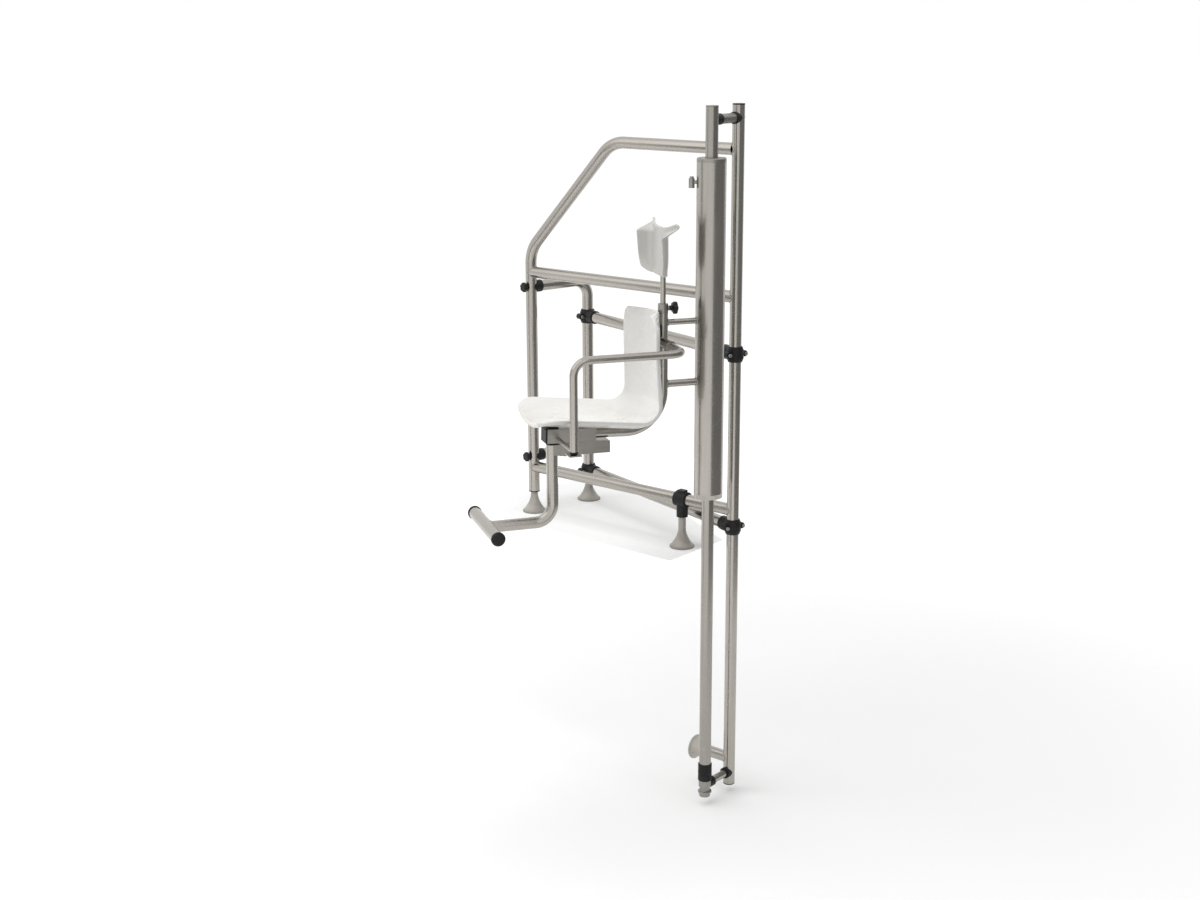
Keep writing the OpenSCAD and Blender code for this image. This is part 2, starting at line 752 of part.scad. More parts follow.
module upper_arm() arm(arm_up_z, arm_up_d);
module lower_arm() arm(arm_low_z, arm_low_d);
module spine() {
    color(steel) at_chair() bent_tube([[spine_s, 0, spine_top_z], [spine_s, 0, spine_low_z],
        [spine_end_s, 0, run_z(spine_end_s)]], spine_bend_r, spine_d, spine_wall);
}
rod_guide_h = 60;
// When raised, the headrest's rod still reaches this far into the guide
rod_grip = 18;
rod_low_z = spine_top_z - rod_grip - rest_up;
rest_low_z = spine_top_z + collar_h + rest_over;
rod_top_z = rest_low_z + rod_reach;
module rod_guide() {
    color(black) at_chair() translate([spine_s, 0, spine_top_z - rod_guide_h])
        seal_band(spine_r - spine_wall, rod_d / 2 + run_fit, rod_guide_h);
}
screw_d = 8;
module headrest_collar() {
    color(steel) at_chair() translate([spine_s, 0, spine_top_z]) difference() {
        union() {
            cylinder(d = spine_d, h = collar_h);
            translate([0, 0, collar_h / 2]) rotate([0, -90, 0])
                cylinder(d = screw_d + 8, h = spine_r + 3);
        }
        translate([0, 0, -1]) cylinder(r = rod_d / 2 + run_fit, h = collar_h + 2);
        translate([0, 0, collar_h / 2]) rotate([0, -90, 0])
            cylinder(r = screw_d / 2 + run_fit, h = spine_d);
    }
}
module armrest_boss() {
    color(steel) at_chair() difference() {
        translate([spine_s, 0, armrest_z]) rotate([-90, 0, 0]) cylinder(d = boss_d, h = boss_len);
        translate([spine_s, spine_r + 6, armrest_z]) rotate([-90, 0, 0])
            cylinder(r = armrest_d / 2 + run_fit, h = boss_len);
        translate([spine_s, 0, 0]) cylinder(r = spine_r, h = spine_top_z);
    }
}

// Under the seat

module in_run(s) at_chair() translate([s, 0, run_z(s)]) rotate([0, -run_slope, 0]) children();
module box_tube(length, w, h, wall) {
    difference() {
        translate([0, -w / 2, -h / 2]) cube([length, w, h]);
        translate([-1, -w / 2 + wall, -h / 2 + wall]) cube([length + 2, w - 2 * wall, h - 2 * wall]);
    }
}
socket_s = spine_end_s + 8 - socket_len;
module seat_socket() {
    color(steel) in_run(socket_s) {
        box_tube(socket_len, socket_w, socket_h, box_wall);
        // Two rings inside carry the spine's end
        for (x = [0, socket_len - 24]) translate([x, 0, 0]) difference() {
            translate([0, -socket_w / 2 + 1, -socket_h / 2 + 1]) cube([8, socket_w - 2, socket_h - 2]);
            translate([-1, 0, 0]) rotate([0, 90, 0]) cylinder(r = spine_r, h = 12);
        }
    }
}
module socket_plug() {
    lip = 6;
    color(black) in_run(spine_end_s + 8) {
        translate([0, -socket_w / 2, -socket_h / 2]) cube([lip, socket_w, socket_h]);
        translate([-8, -socket_w / 2 + box_wall, -socket_h / 2 + box_wall])
            cube([8, socket_w - 2 * box_wall, socket_h - 2 * box_wall]);
    }
}
channel_end_s = upright_s - upright_d / 2 - 2;
channel_s = channel_end_s - channel_len;
channel_top_z = run_z(socket_s) - (socket_h / 2) / cos(run_slope);
channel_z = channel_top_z - channel_h / 2;
end_wall = 4;
lock_s = channel_end_s - 24;
lock_d = 8;
lock_head_h = 7;
slider_w = channel_w - 2 * box_wall - 2 * slider_fit;
slider_h = channel_h - 2 * box_wall - 2 * slider_fit;
module footrest_channel() {
    color(steel) at_chair() difference() {
        union() {
            translate([channel_s, 0, channel_z]) box_tube(channel_len, channel_w, channel_h, box_wall);
            translate([channel_s, -channel_w / 2, channel_z - channel_h / 2])
                cube([end_wall, channel_w, channel_h]);
            // Wedge between the level channel and the sloping socket
            translate([socket_s + 10, -channel_w / 2 + 6, channel_top_z - 1])
                cube([channel_end_s - socket_s - 14, channel_w - 12, socket_h / 2]);
            translate([lock_s, 0, channel_z - channel_h / 2 - lock_head_h])
                cylinder(d = lock_d + 6, h = lock_head_h, $fn = 6);
        }
        translate([socket_s, 0, run_z(socket_s)]) rotate([0, -run_slope, 0])
            translate([-socket_len, -channel_w, -socket_h / 2])
                cube([3 * socket_len, 2 * channel_w, 4 * socket_h]);
    }
}
// A rod from the socket's side, with a plate under its end for the armrest's tip
module armrest_shelf() {
    rod_r = 8;
    sink = 0.7;
    edge = 6;
    half_tip = armrest_d / 2 + edge;
    plate_len = 44;
    plate_w = 2 * half_tip + 16;
    plate_h = 4;
    plate_top_z = armrest_low_z - tip_gap;
    color(steel) at_chair() {
        translate([armrest_s, socket_w / 2, plate_top_z + rod_r - sink]) rotate([-90, 0, 0])
            cylinder(r = rod_r, h = armrest_w - half_tip - socket_w / 2);
        translate([armrest_s - plate_len / 2, armrest_w + half_tip - plate_w, plate_top_z - plate_h])
            cube([plate_len, plate_w, plate_h]);
    }
}

// Seat shell: one moulded bucket that follows the spine up the back and along the seat

// The shell's middle line keeps this far from the spine's axis
shell_offset = spine_r + shell_gap;
bend_centre = [spine_s + spine_bend_r, spine_low_z + spine_bend_r * tan(45 + run_slope / 2)];
arc_r = spine_bend_r - shell_offset;
arc_turn = 90 + seat_slope;
back_len = shell_top_z - bend_centre.y;
arc_len = arc_r * arc_turn * PI / 180;
seat_len = (shell_front_s - bend_centre.x - arc_r * sin(seat_slope)) / cos(seat_slope);
shell_len = back_len + arc_len + seat_len;
shell_rim = 8;
shell_lip = 3;

// The middle line at length q from the top: [s, z, inward normal s, inward normal z]
function shell_line(q) =
    q < back_len ? [spine_s + shell_offset, shell_top_z - q, 1, 0]
    : q < back_len + arc_len ? let (a = 180 + arc_turn * (q - back_len) / arc_len)
        [bend_centre.x + arc_r * cos(a), bend_centre.y + arc_r * sin(a), -cos(a), -sin(a)]
    : let (a = 180 + arc_turn, run = q - back_len - arc_len)
        [bend_centre.x + arc_r * cos(a) + run * cos(seat_slope),
         bend_centre.y + arc_r * sin(a) + run * sin(seat_slope), -sin(seat_slope), cos(seat_slope)];
function ease(x) = let (t = min(1, max(0, x))) t * t * (3 - 2 * t);
// 1 at the backrest's top and 0 on the seat, eased from the upper back to the end of the bend
back_steady = 0.3 * back_len;
function back_share(q) = 1 - ease((q - back_steady) / (arc_len + back_len - back_steady));
function shell_mix(seat, back, q) = seat + (back - seat) * back_share(q);
// Half width with round corners at both ends
function shell_half(q) = let (d = min(shell_corner_r, q, shell_len - q), g = shell_corner_r - d)
    shell_mix(shell_half_w, back_half_w, q) - shell_corner_r
        + sqrt(max(0, shell_corner_r * shell_corner_r - g * g));
function shell_point(q, c, face) =
    let (m = shell_line(q), near_front = max(0, 1 - (shell_len - q) / shell_corner_r),
         rim = shell_rim * max(ease((abs(c) - 0.9) * 10), 0.4 * ease(1 - q / 14),
             ease(1 - (shell_len - q) / 14)),
         rise = shell_mix(shell_dish, back_dish, q) * pow(abs(c), shell_mix(2.6, 1.7, q))
             * (1 - 0.45 * near_front * near_front)
             - shell_lip * near_front * near_front
             + (face == 1 ? shell_wall : -rim * (1 - 0.4 * near_front)))
    [m[0] + m[2] * rise, shell_half(q) * c, m[1] + m[3] * rise];
shell_steps = 5;
shell_qs = [for (i = [0 : shell_steps]) shell_corner_r * (1 - cos(90 * i / shell_steps)),
    for (i = [1 : 3]) shell_corner_r + (back_len - shell_corner_r) * i / 3,
    for (i = [1 : 8]) back_len + arc_len * i / 8,
    for (i = [1 : 4]) back_len + arc_len + (seat_len - shell_corner_r) * i / 4,
    for (i = [1 : shell_steps]) shell_len - shell_corner_r * (1 - sin(90 * i / shell_steps))];
shell_cs = [for (i = [-7 : 7]) sign(i) * pow(abs(i) / 7, 0.7)];

// A closed skin from two grids of points, the first facing up when its rows run forward
function skin_faces(rows, cols) = let (n = rows * cols) concat(
    [for (i = [0 : rows - 2], j = [0 : cols - 2]) let (a = i * cols + j)
        each [[a, a + 1, a + cols], [a + 1, a + cols + 1, a + cols]]],
    [for (i = [0 : rows - 2], j = [0 : cols - 2]) let (a = n + i * cols + j)
        each [[a, a + cols, a + 1], [a + 1, a + cols, a + cols + 1]]],
    [for (j = [0 : cols - 2], i = [0, rows - 1]) let (a = i * cols + j, b = n + a)
        each i == 0 ? [[a, b, a + 1], [a + 1, b, b + 1]] : [[a, a + 1, b], [a + 1, b + 1, b]]],
    [for (i = [0 : rows - 2], j = [0, cols - 1]) let (a = i * cols + j, b = n + a)
        each j == 0 ? [[a, a + cols, b], [a + cols, b + cols, b]]
            : [[a, b, a + cols], [a + cols, b, b + cols]]]);

module seat_shell() {
    color(white) at_chair() polyhedron(
        points = [for (face = [1, 0]) each [for (q = shell_qs, c = shell_cs) shell_point(q, c, face)]],
        faces = skin_faces(len(shell_qs), len(shell_cs)));
}
// Pads between the spine or its socket and the shell: two on the back, two under the seat
pad_w = 40;
module seat_pads() {
    color(black) at_chair() {
        for (z = [bend_centre.y + pad_w, armrest_z + (boss_d + pad_w) / 2 + 3]) difference() {
            translate([spine_s + spine_r - 6, -pad_w / 2, z - pad_w / 2])
                cube([shell_gap + 5.7, pad_w, pad_w]);
            translate([spine_s, 0, z - pad_w]) cylinder(r = spine_r, h = 2 * pad_w);
        }
        for (s = [socket_s + 24, socket_s + socket_len - 24]) {
            run = (s - bend_centre.x - arc_r * sin(seat_slope)) / cos(seat_slope);
            under = shell_line(back_len + arc_len + run);
            difference() {
                translate([s, 0, under[1] - 0.3]) rotate([0, -seat_slope, 0])
                    translate([-pad_w / 2, -pad_w / 2, -socket_h]) cube([pad_w, pad_w, socket_h]);
                translate([socket_s, 0, run_z(socket_s)]) rotate([0, -run_slope, 0])
                    translate([-pad_w, -pad_w, -2 * socket_h])
                        cube([2 * socket_len, 2 * pad_w, 2.5 * socket_h]);
            }
        }
    }
}

// Headrest

module headrest_rod() {
    color(steel) at_chair() translate([spine_s, 0, rod_low_z])
        cylinder(d = rod_d, h = rod_top_z - rod_low_z);
}
rest_rows = 12;
rest_cs = [for (j = [-8 : 8]) sign(j) * pow(abs(j) / 8, 0.7)];
rest_s = spine_s + rod_d / 2 + 0.3;
// Share of the width at the headrest's foot, and the share of its height over which it widens
rest_toe = 0.64;
rest_swell = 0.45;
// The top lip: where it starts, how soon it is full, how far its ends curl back and rise, its dip between
lip_start = 0.79;
lip_reach = 0.17;
lip_back = 22;
ear_rise = 16;
lip_dip = 10;
// The foot's ends lie this much higher than its middle
toe_rise = 7;
// Half width, which widens upwards from the foot as a quarter circle
function rest_half(h) = let (low = 1 - min(1, h / rest_swell))
    rest_w / 2 * (rest_toe + (1 - rest_toe) * sqrt(1 - low * low));
// A flat back whose sides turn forward into two wings, under a lip that curls back into two ears
function rest_point(h, c, face) =
    let (lip = ease((h - lip_start) / lip_reach), end = pow(abs(c), 3),
         wing = rest_dish * pow(abs(c), 7) * (0.7 + 0.3 * h) * (1 - lip))
    [rest_s + wing - lip_back * lip * end + (face == 1 ? rest_wall : 0),
     rest_half(h) * c - (face == 1 ? 0.7 * rest_wall * c * end : 0),
     rest_low_z + rest_h * h + (ear_rise * end - lip_dip * (1 - c * c)) * lip * h
         + toe_rise * (1 - h) * (1 - h) * end];
module headrest_shell() {
    color(white) at_chair() {
        polyhedron(
            points = [for (face = [1, 0]) each [for (i = [rest_rows : -1 : 0], c = rest_cs)
                rest_point(i / rest_rows, c, face)]],
            faces = skin_faces(rest_rows + 1, len(rest_cs)));
        // Boss on the back of the shell, clamped to the rod
        translate([spine_s, 0, rest_low_z + rest_h * 0.35]) difference() {
            translate([0, -16, 0]) cube([rod_d / 2 + 2, 32, rest_h * 0.4]);
            translate([0, 0, -1]) cylinder(d = rod_d, h = rest_h);
        }
    }
}
knob_stem = 24;
module headrest_knob() {
    grips = 5;
    color(black) at_chair() translate([spine_s, 0, spine_top_z + collar_h / 2])
    rotate([0, -90, 0]) difference() {
        union() {
            translate([0, 0, rod_d / 2 + run_fit]) cylinder(d = screw_d, h = spine_r + 6);
            translate([0, 0, spine_r + 3.3]) cylinder(d = screw_d + 9, h = knob_stem - knob_h + 8);
            translate([0, 0, spine_r + knob_stem - 8]) cylinder(d = knob_d, h = knob_h);
        }
        for (i = [0 : grips - 1]) rotate([0, 0, 360 * i / grips])
            translate([knob_d / 2 + 3, 0, spine_r + knob_stem - 9]) cylinder(d = 15, h = knob_h + 2);
    }
}

// Armrest

tip_h = 10;
module armrest() {
    color(steel) at_chair() bent_tube([[armrest_s, armrest_w, armrest_low_z + tip_h],
        [armrest_s, armrest_w, armrest_z], [spine_s, armrest_w, armrest_z],
        [spine_s, spine_r + 8, armrest_z]], armrest_bend_r, armrest_d, armrest_wall);
}
module armrest_tip() {
    tip_r = armrest_d / 2;
    tip_bevel = 5;
    color(black) at_chair() translate([armrest_s, armrest_w, armrest_low_z]) {
        rotate_extrude()
            polygon([[0, 0], [tip_r - tip_bevel, 0], [tip_r, tip_bevel], [tip_r, tip_h], [0, tip_h]]);
        cylinder(r = tip_r - armrest_wall, h = tip_h + plug_stem_h);
    }
}

// Footrest

module footrest_slider() {
    // When pulled out, this much of the slider stays in the channel
    grip = 72;
    rear_s = channel_end_s - footrest_out - grip;
    color(steel) at_chair() difference() {
        translate([rear_s, 0, channel_z]) box_tube(upright_s - rear_s, slider_w, slider_h, box_wall);
        translate([upright_s, 0, 0]) cylinder(d = upright_d, h = 2 * channel_z);
    }
}
// The upright's top lies this far under the seat socket, and the foot bar this far over its run
upright_top_z = channel_top_z - 4;
foot_bar_z = foot_run_z + 6;
module footrest_frame() {
    run_end_s = foot_bar_s - foot_bar_d / 2 + 2 * tube_wall;
    color(steel) at_chair() {
        difference() {
            bent_tube([[upright_s, 0, upright_top_z], [upright_s, 0, foot_run_z],
                [run_end_s, 0, foot_run_z]], foot_bend_r, upright_d, tube_wall);
            translate([foot_bar_s, 0, foot_bar_z]) rotate([90, 0, 0])
                cylinder(d = foot_bar_d, h = 2 * foot_bar_half, center = true);
        }
        translate([foot_bar_s, -foot_bar_half, foot_bar_z]) rotate([-90, 0, 0])
            pipe(foot_bar_d, tube_wall, 2 * foot_bar_half);
    }
}
module footrest_caps() {
    cap_r = foot_bar_d / 2 + 2.5;
    color(black) at_chair() {
        for (side = [-1, 1]) translate([foot_bar_s, side * foot_bar_half, foot_bar_z])
        rotate([-90 * side, 0, 0]) {
            rotate_extrude()
                polygon([[0, 0], [cap_r, 0], [cap_r, foot_cap_h - 5], [cap_r - 5, foot_cap_h],
                    [0, foot_cap_h]]);
            translate([0, 0, -plug_stem_h]) cylinder(r = foot_bar_d / 2 - tube_wall, h = plug_stem_h);
        }
        translate([upright_s, 0, upright_top_z]) {
            cylinder(d = upright_d, h = 3);
            translate([0, 0, -plug_stem_h]) cylinder(d = upright_d - 2 * tube_wall, h = plug_stem_h);
        }
    }
}

guard_rail();
middle_rail();
lower_rail();
rear_post();
back_leg();
back_strut();
upper_brace();
lower_brace();
left_foot();
back_foot();
front_foot();
foot_inserts();
front_tee_clamp();
back_clamp_upper();
back_clamp_lower();
rear_clamp_upper();
rear_clamp_lower();
left_saddles();
left_hand_knobs();
clamp_bolts();
wall_pad_arm();
wall_pad();
upper_link();
upper_link_collars();
lower_link();
lower_link_collars();
post_plugs();
mast();
mast_cap();
piston();
piston_seals();
bump_stop();
water_inlet();
upper_guide_bush();
lower_guide_bush();
rod_seals();
sleeve();
sleeve_cap();
bush_stop_ring();
bleed_valve();
upper_arm();
lower_arm();
spine();
rod_guide();
headrest_collar();
armrest_boss();
armrest_shelf();
seat_socket();
socket_plug();
footrest_channel();
seat_pads();
seat_shell();
headrest_rod();
headrest_shell();
headrest_knob();
armrest();
armrest_tip();
footrest_slider();
footrest_frame();
footrest_caps();
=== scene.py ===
"""A pool lift by the water's edge: steel guard frame, sleeve on a mast, and a white moulded seat."""
import math

import bmesh
import bpy
import numpy as np
from mathutils import Matrix, Vector


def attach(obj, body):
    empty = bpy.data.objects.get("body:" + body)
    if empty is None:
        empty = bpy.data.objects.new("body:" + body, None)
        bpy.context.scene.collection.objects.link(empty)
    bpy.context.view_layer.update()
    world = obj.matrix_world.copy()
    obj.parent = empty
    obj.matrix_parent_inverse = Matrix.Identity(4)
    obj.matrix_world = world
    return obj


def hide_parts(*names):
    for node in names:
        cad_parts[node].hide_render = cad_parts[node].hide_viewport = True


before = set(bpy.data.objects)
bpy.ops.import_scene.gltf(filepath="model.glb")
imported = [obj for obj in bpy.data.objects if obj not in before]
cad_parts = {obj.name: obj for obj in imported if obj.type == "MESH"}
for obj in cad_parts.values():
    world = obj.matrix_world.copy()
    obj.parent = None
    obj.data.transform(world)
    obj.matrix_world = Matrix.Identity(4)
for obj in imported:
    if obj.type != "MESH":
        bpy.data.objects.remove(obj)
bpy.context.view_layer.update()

# Metres in a millimetre: the sizes below are in millimetres, and Blender's objects in metres
MM = 0.001
# Points nearer than this many metres are merged, in a new piece and in a copy of a solid's surface
PIECE_GAP = 2e-6
SOLID_GAP = 1e-5
# The width in metres that each rounding asks for: far more than fits, so that the clamp sets what it gets
AMPLE_WIDTH = 1.0

# Sizes of the lift, as its solids have them: where its upright tubes stand, and the radii of its tubes
MAST = np.array([228.0, -150.0, 0.0])
REAR = np.array([228.0, 0.0, 0.0])
LEFT = np.array([-734.0, 0.0, 0.0])
BACK = np.array([-680.0, 266.0, 0.0])
TUBE_R = 21.5
SLEEVE_R = 50.0
SPINE_R = 17.5
FOOT_TUBE_R = 20.0
FOOT_BAR_R = 21.5
# How far the spine's upper part stands forward of the mast
SPINE_S = 170.0

# The way the seat faces at rest, as a bearing from X, and the lift's other ways
CHAIR_TURN = math.radians(238.0)
FORWARD = np.array([math.cos(CHAIR_TURN), math.sin(CHAIR_TURN), 0.0])
ACROSS = np.array([-math.sin(CHAIR_TURN), math.cos(CHAIR_TURN), 0.0])
UP = np.array([0.0, 0.0, 1.0])
ALONG_RAILS = np.array([1.0, 0.0, 0.0])
STRUT_TURN = math.atan2(BACK[1] - LEFT[1], BACK[0] - LEFT[0])
BRACE_TURN = math.atan2(REAR[1] - BACK[1], REAR[0] - BACK[0])
OFF_LEFT_POST = np.array([-math.cos(STRUT_TURN), -math.sin(STRUT_TURN), 0.0])

# Heights above the deck
TOP_RAIL_Z = 1456.0
MIDDLE_RAIL_Z = 950.0
LOWER_RAIL_Z = 182.0
UPPER_SADDLE_Z = 893.0
LOWER_SADDLE_Z = 226.0
CLAMP_SCREW_Z = 940.5
BUMP_STOP_Z = -808.0
POOL_FLOOR_Z = -905.0
# Height and radius of the two arms between the sleeve and the spine
CHAIR_ARMS = ((892.0, 10.5), (680.0, 12.5))

# The footrest, forward of the mast, up and to the side: its upright, its level tube, and its bar
UPRIGHT_S = 565.0
UPRIGHT_TOP_Z = 500.65
FOOT_TUBE_Z = 231.0
FOOT_BAR_S = 798.0
FOOT_BAR_Z = 237.0
FOOT_BAR_HALF = 158.0
# The foot of the armrest's rubber tip, in the chair's own measures
ARMREST_TIP = (552.0, 216.0, 516.0)

# The bells: the flat face's radius and the height, the feet's necks and stems, and the wall pad
BELL_FLAT_R = 46.0
BELL_H = 70.0
FOOT_NECK_R = 14.0
SIDE_STEM = 122.0
FRONT_STEM = 159.5
PAD_NECK_R = 21.0
PAD_STEM_R = 19.0
PAD_STEM = 106.0
PAD_X = 70.0
PAD_Z = -774.0


# Forms


def chair_point(s, w, z):
    """Millimetres forward of the mast, across the chair and up, as a place in the lift's frame."""
    s, w, z = np.broadcast_arrays(s, w, z)
    return MAST + s[..., None] * FORWARD + w[..., None] * ACROSS + z[..., None] * UP


def ease(x):
    """Runs smoothly from 0 to 1 as x does: t t (3 - 2 t) of x held between 0 and 1."""
    t = np.clip(x, 0.0, 1.0)
    return t * t * (3.0 - 2.0 * t)


def grid_faces(rows, cols, ring_rows=False, ring_cols=False):
    """Four-sided faces of a grid of points, numbered row by row, joined end to start where it is a ring."""
    i = np.arange(rows if ring_rows else rows - 1)[:, None]
    j = np.arange(cols if ring_cols else cols - 1)[None, :]
    below = (i + 1) % rows
    beside = (j + 1) % cols
    corners = [i * cols + j, below * cols + j, below * cols + beside, i * cols + beside]
    return np.stack(corners, axis=-1).reshape(-1, 4)


def outward(points, faces):
    """The faces of a closed form, turned over if the volume they enclose comes out negative."""
    a, b, c, d = (points[faces[:, k]] for k in range(4))
    volume = np.einsum("ij,ij->", a, np.cross(b, c) + np.cross(c, d))
    return faces[:, ::-1] if volume < 0 else faces


def turned(outline, around=96, ring=False, dips=0, dip=0.0):
    """A turned form: each outline point (radius, height) carried round the Z axis.

    With dips, the radius goes in by the share dip at that many places round, as a fourth power of a cosine.
    """
    outline = np.asarray(outline, float)
    angle = np.linspace(0.0, 2.0 * math.pi, around, endpoint=False)
    shape = 1.0 - dip * np.cos(0.5 * dips * angle) ** 4 if dips else np.ones(around)
    x = np.outer(outline[:, 0], shape * np.cos(angle))
    y = np.outer(outline[:, 0], shape * np.sin(angle))
    z = np.outer(outline[:, 1], np.ones(around))
    points = np.stack([x, y, z], axis=-1).reshape(-1, 3)
    return points, grid_faces(len(outline), around, ring_rows=ring, ring_cols=True)


def rounded(corners, radius, steps=5):
    """An outline whose inner corners each become a quadratic curve.

    The curve runs from radius before the corner to radius after it, or from 0.45 of the shorter of the two
    sides that meet there, where that is less.
    """
    corners = np.asarray(corners, float)
    before = corners[:-2] - corners[1:-1]
    after = corners[2:] - corners[1:-1]
    before_len = np.linalg.norm(before, axis=1)
    after_len = np.linalg.norm(after, axis=1)
    cut = np.minimum(np.minimum(before_len, after_len) * 0.45, radius)[:, None]
    start = corners[1:-1] + before / before_len[:, None] * cut
    end = corners[1:-1] + after / after_len[:, None] * cut
    t = np.linspace(0.0, 1.0, steps)[None, :, None]
    curve = (1 - t) ** 2 * start[:, None] + 2 * t * (1 - t) * corners[1:-1][:, None] + t**2 * end[:, None]
    return np.vstack([corners[:1], curve.reshape(-1, 2), corners[-1:]])


def stood(form, place, axis=UP):
    """A form moved so that its origin is at place and its Z axis points along axis."""
    points, faces = form
    turn = np.array(Vector(UP).rotation_difference(Vector(axis)).to_matrix())
    return points @ turn.T + np.asarray(place, float), faces


def weld_bead(place, along, bar_r, trunk, trunk_axis, trunk_r, bead=2.4, ripples=36.0, around=144):
    """The bead where a bar leaves a round trunk.

    At each turn round the bar, the point on the bar's side is carried along it until it is trunk_r from the
    trunk's axis. The bead is a tube round that line, whose radius swells and sinks by a tenth with the
    welder's ripples, a cosine, and a little less in five slow waves, a sine.
    """
    along = np.asarray(along, float) / np.linalg.norm(along)
    trunk_axis = np.asarray(trunk_axis, float)
    side = np.cross(along, trunk_axis)
    side /= np.linalg.norm(side)
    other = np.cross(along, side)
    angle = np.linspace(0.0, 2.0 * math.pi, around, endpoint=False)[:, None]
    radial = np.cos(angle) * side + np.sin(angle) * other
    start = np.asarray(place, float) + bar_r * radial
    off = start - np.asarray(trunk, float)
    off -= (off @ trunk_axis)[:, None] * trunk_axis
    flat = along - (along @ trunk_axis) * trunk_axis
    half = off @ flat
    room = np.maximum(half**2 - (flat @ flat) * (np.sum(off**2, axis=1) - trunk_r**2), 0.0)
    line = start + ((-half + np.sqrt(room)) / (flat @ flat))[:, None] * along
    heading = np.roll(line, -1, axis=0) - np.roll(line, 1, axis=0)
    heading /= np.linalg.norm(heading, axis=1)[:, None]
    out = radial - np.sum(radial * heading, axis=1)[:, None] * heading
    out /= np.linalg.norm(out, axis=1)[:, None]
    across = np.cross(heading, out)
    girth = np.linspace(0.0, 2.0 * math.pi, 10, endpoint=False)
    ripple = bead * (1.0 + 0.10 * np.cos(angle[:, 0] * ripples) + 0.06 * np.sin(angle[:, 0] * 5.0))
    ring = np.cos(girth)[None, :, None] * out[:, None] + np.sin(girth)[None, :, None] * across[:, None]
    points = line[:, None] + ripple[:, None, None] * ring
    return points.reshape(-1, 3), grid_faces(around, len(girth), ring_rows=True, ring_cols=True)


def make_piece(name, forms, sharp=40.0):
    """One object from closed forms in millimetres: faces outwards, seams and poles merged, smooth between
    edges sharper than so many degrees."""
    points = []
    faces = []
    count = 0
    for form_points, form_faces in forms:
        points.append(form_points)
        faces.append(outward(form_points, form_faces) + count)
        count += len(form_points)
    mesh = bpy.data.meshes.new(name)
    mesh.from_pydata((np.vstack(points) * MM).tolist(), [], np.vstack(faces).tolist())
    shape = bmesh.new()
    shape.from_mesh(mesh)
    bmesh.ops.remove_doubles(shape, verts=shape.verts, dist=PIECE_GAP)
    shape.to_mesh(mesh)
    shape.free()
    return show(name, mesh, sharp)


def show(name, mesh, sharp):
    """Puts a mesh into the scene as a smooth object with its sharp edges marked."""
    mesh.polygons.foreach_set("use_smooth", np.ones(len(mesh.polygons), bool))
    mesh.set_sharp_from_angle(angle=math.radians(sharp))
    piece = bpy.data.objects.new(name, mesh)
    bpy.context.scene.collection.objects.link(piece)
    return piece


def softened(node, angle=32.0, flat=0.6):
    """A copy of a node's surface, with each edge sharper than angle rounded.

    Its triangles that turn by less than flat degrees are merged first. The clamp gives all edges of a
    node one width, the most that fits at its tightest edge: from 0.01 mm on the finest to 2 mm.
    """
    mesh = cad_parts[node].data.copy()
    mesh.materials.clear()
    shape = bmesh.new()
    shape.from_mesh(mesh)
    bmesh.ops.remove_doubles(shape, verts=shape.verts, dist=SOLID_GAP)
    bmesh.ops.dissolve_limit(shape, angle_limit=math.radians(flat), verts=shape.verts, edges=shape.edges)
    shape.to_mesh(mesh)
    shape.free()
    piece = show(node + "_softened", mesh, angle)
    edges = piece.modifiers.new("edges", "BEVEL")
    edges.width = AMPLE_WIDTH
    edges.use_clamp_overlap = True
    edges.segments = 3
    edges.limit_method = "ANGLE"
    edges.angle_limit = math.radians(angle)
    return piece


def fit_out(piece, body, slot, finish, *nodes):
    """Gives a piece its finish, hides the solids it stands for, and lets it move with its body."""
    piece.data.materials.append(finish)
    if nodes:
        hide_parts(*nodes)
    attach(piece, body)


# Finishes


class Wire:
    """A node's output, so that sums and products of outputs read as arithmetic."""

    def __init__(self, nodes, socket):
        self.nodes = nodes
        self.socket = socket

    def maths(self, operation, a, b):
        """A Math node on two numbers or wires."""
        return self.nodes.node("ShaderNodeMath", {"operation": operation}, {0: a, 1: b})

    def __add__(self, other):
        return self.maths("ADD", self, other)

    __radd__ = __add__

    def __mul__(self, other):
        return self.maths("MULTIPLY", self, other)

    __rmul__ = __mul__

    def __rsub__(self, other):
        return self.maths("SUBTRACT", other, self)

    def step(self, low, high):
        """Runs smoothly from 0 at low to 1 at high."""
        sockets = {"Value": self, "From Min": low, "From Max": high}
        return self.nodes.node("ShaderNodeMapRange", {"interpolation_type": "SMOOTHSTEP"}, sockets)


class Nodes:
    """The nodes of a material, or of the world."""

    def __init__(self, owner):
        owner.use_nodes = True
        self.tree = owner.node_tree
        self.tree.nodes.clear()

    def add(self, kind, settings=None, sockets=None):
        """Adds a node: its settings first, then a value or a wire for each named socket."""
        node = self.tree.nodes.new(kind)
        for key, value in (settings or {}).items():
            setattr(node, key, value)
        for key, value in (sockets or {}).items():
            self.feed(node.inputs[key], value)
        return node

    def node(self, kind, settings=None, sockets=None, out=0):
        """Adds a node, and gives the wire from one of its outputs."""
        return Wire(self, self.add(kind, settings, sockets).outputs[out])

    def feed(self, socket, value):
        """Joins a wire to a socket, or sets its value."""
        if isinstance(value, Wire):
            self.tree.links.new(value.socket, socket)
        else:
            socket.default_value = value


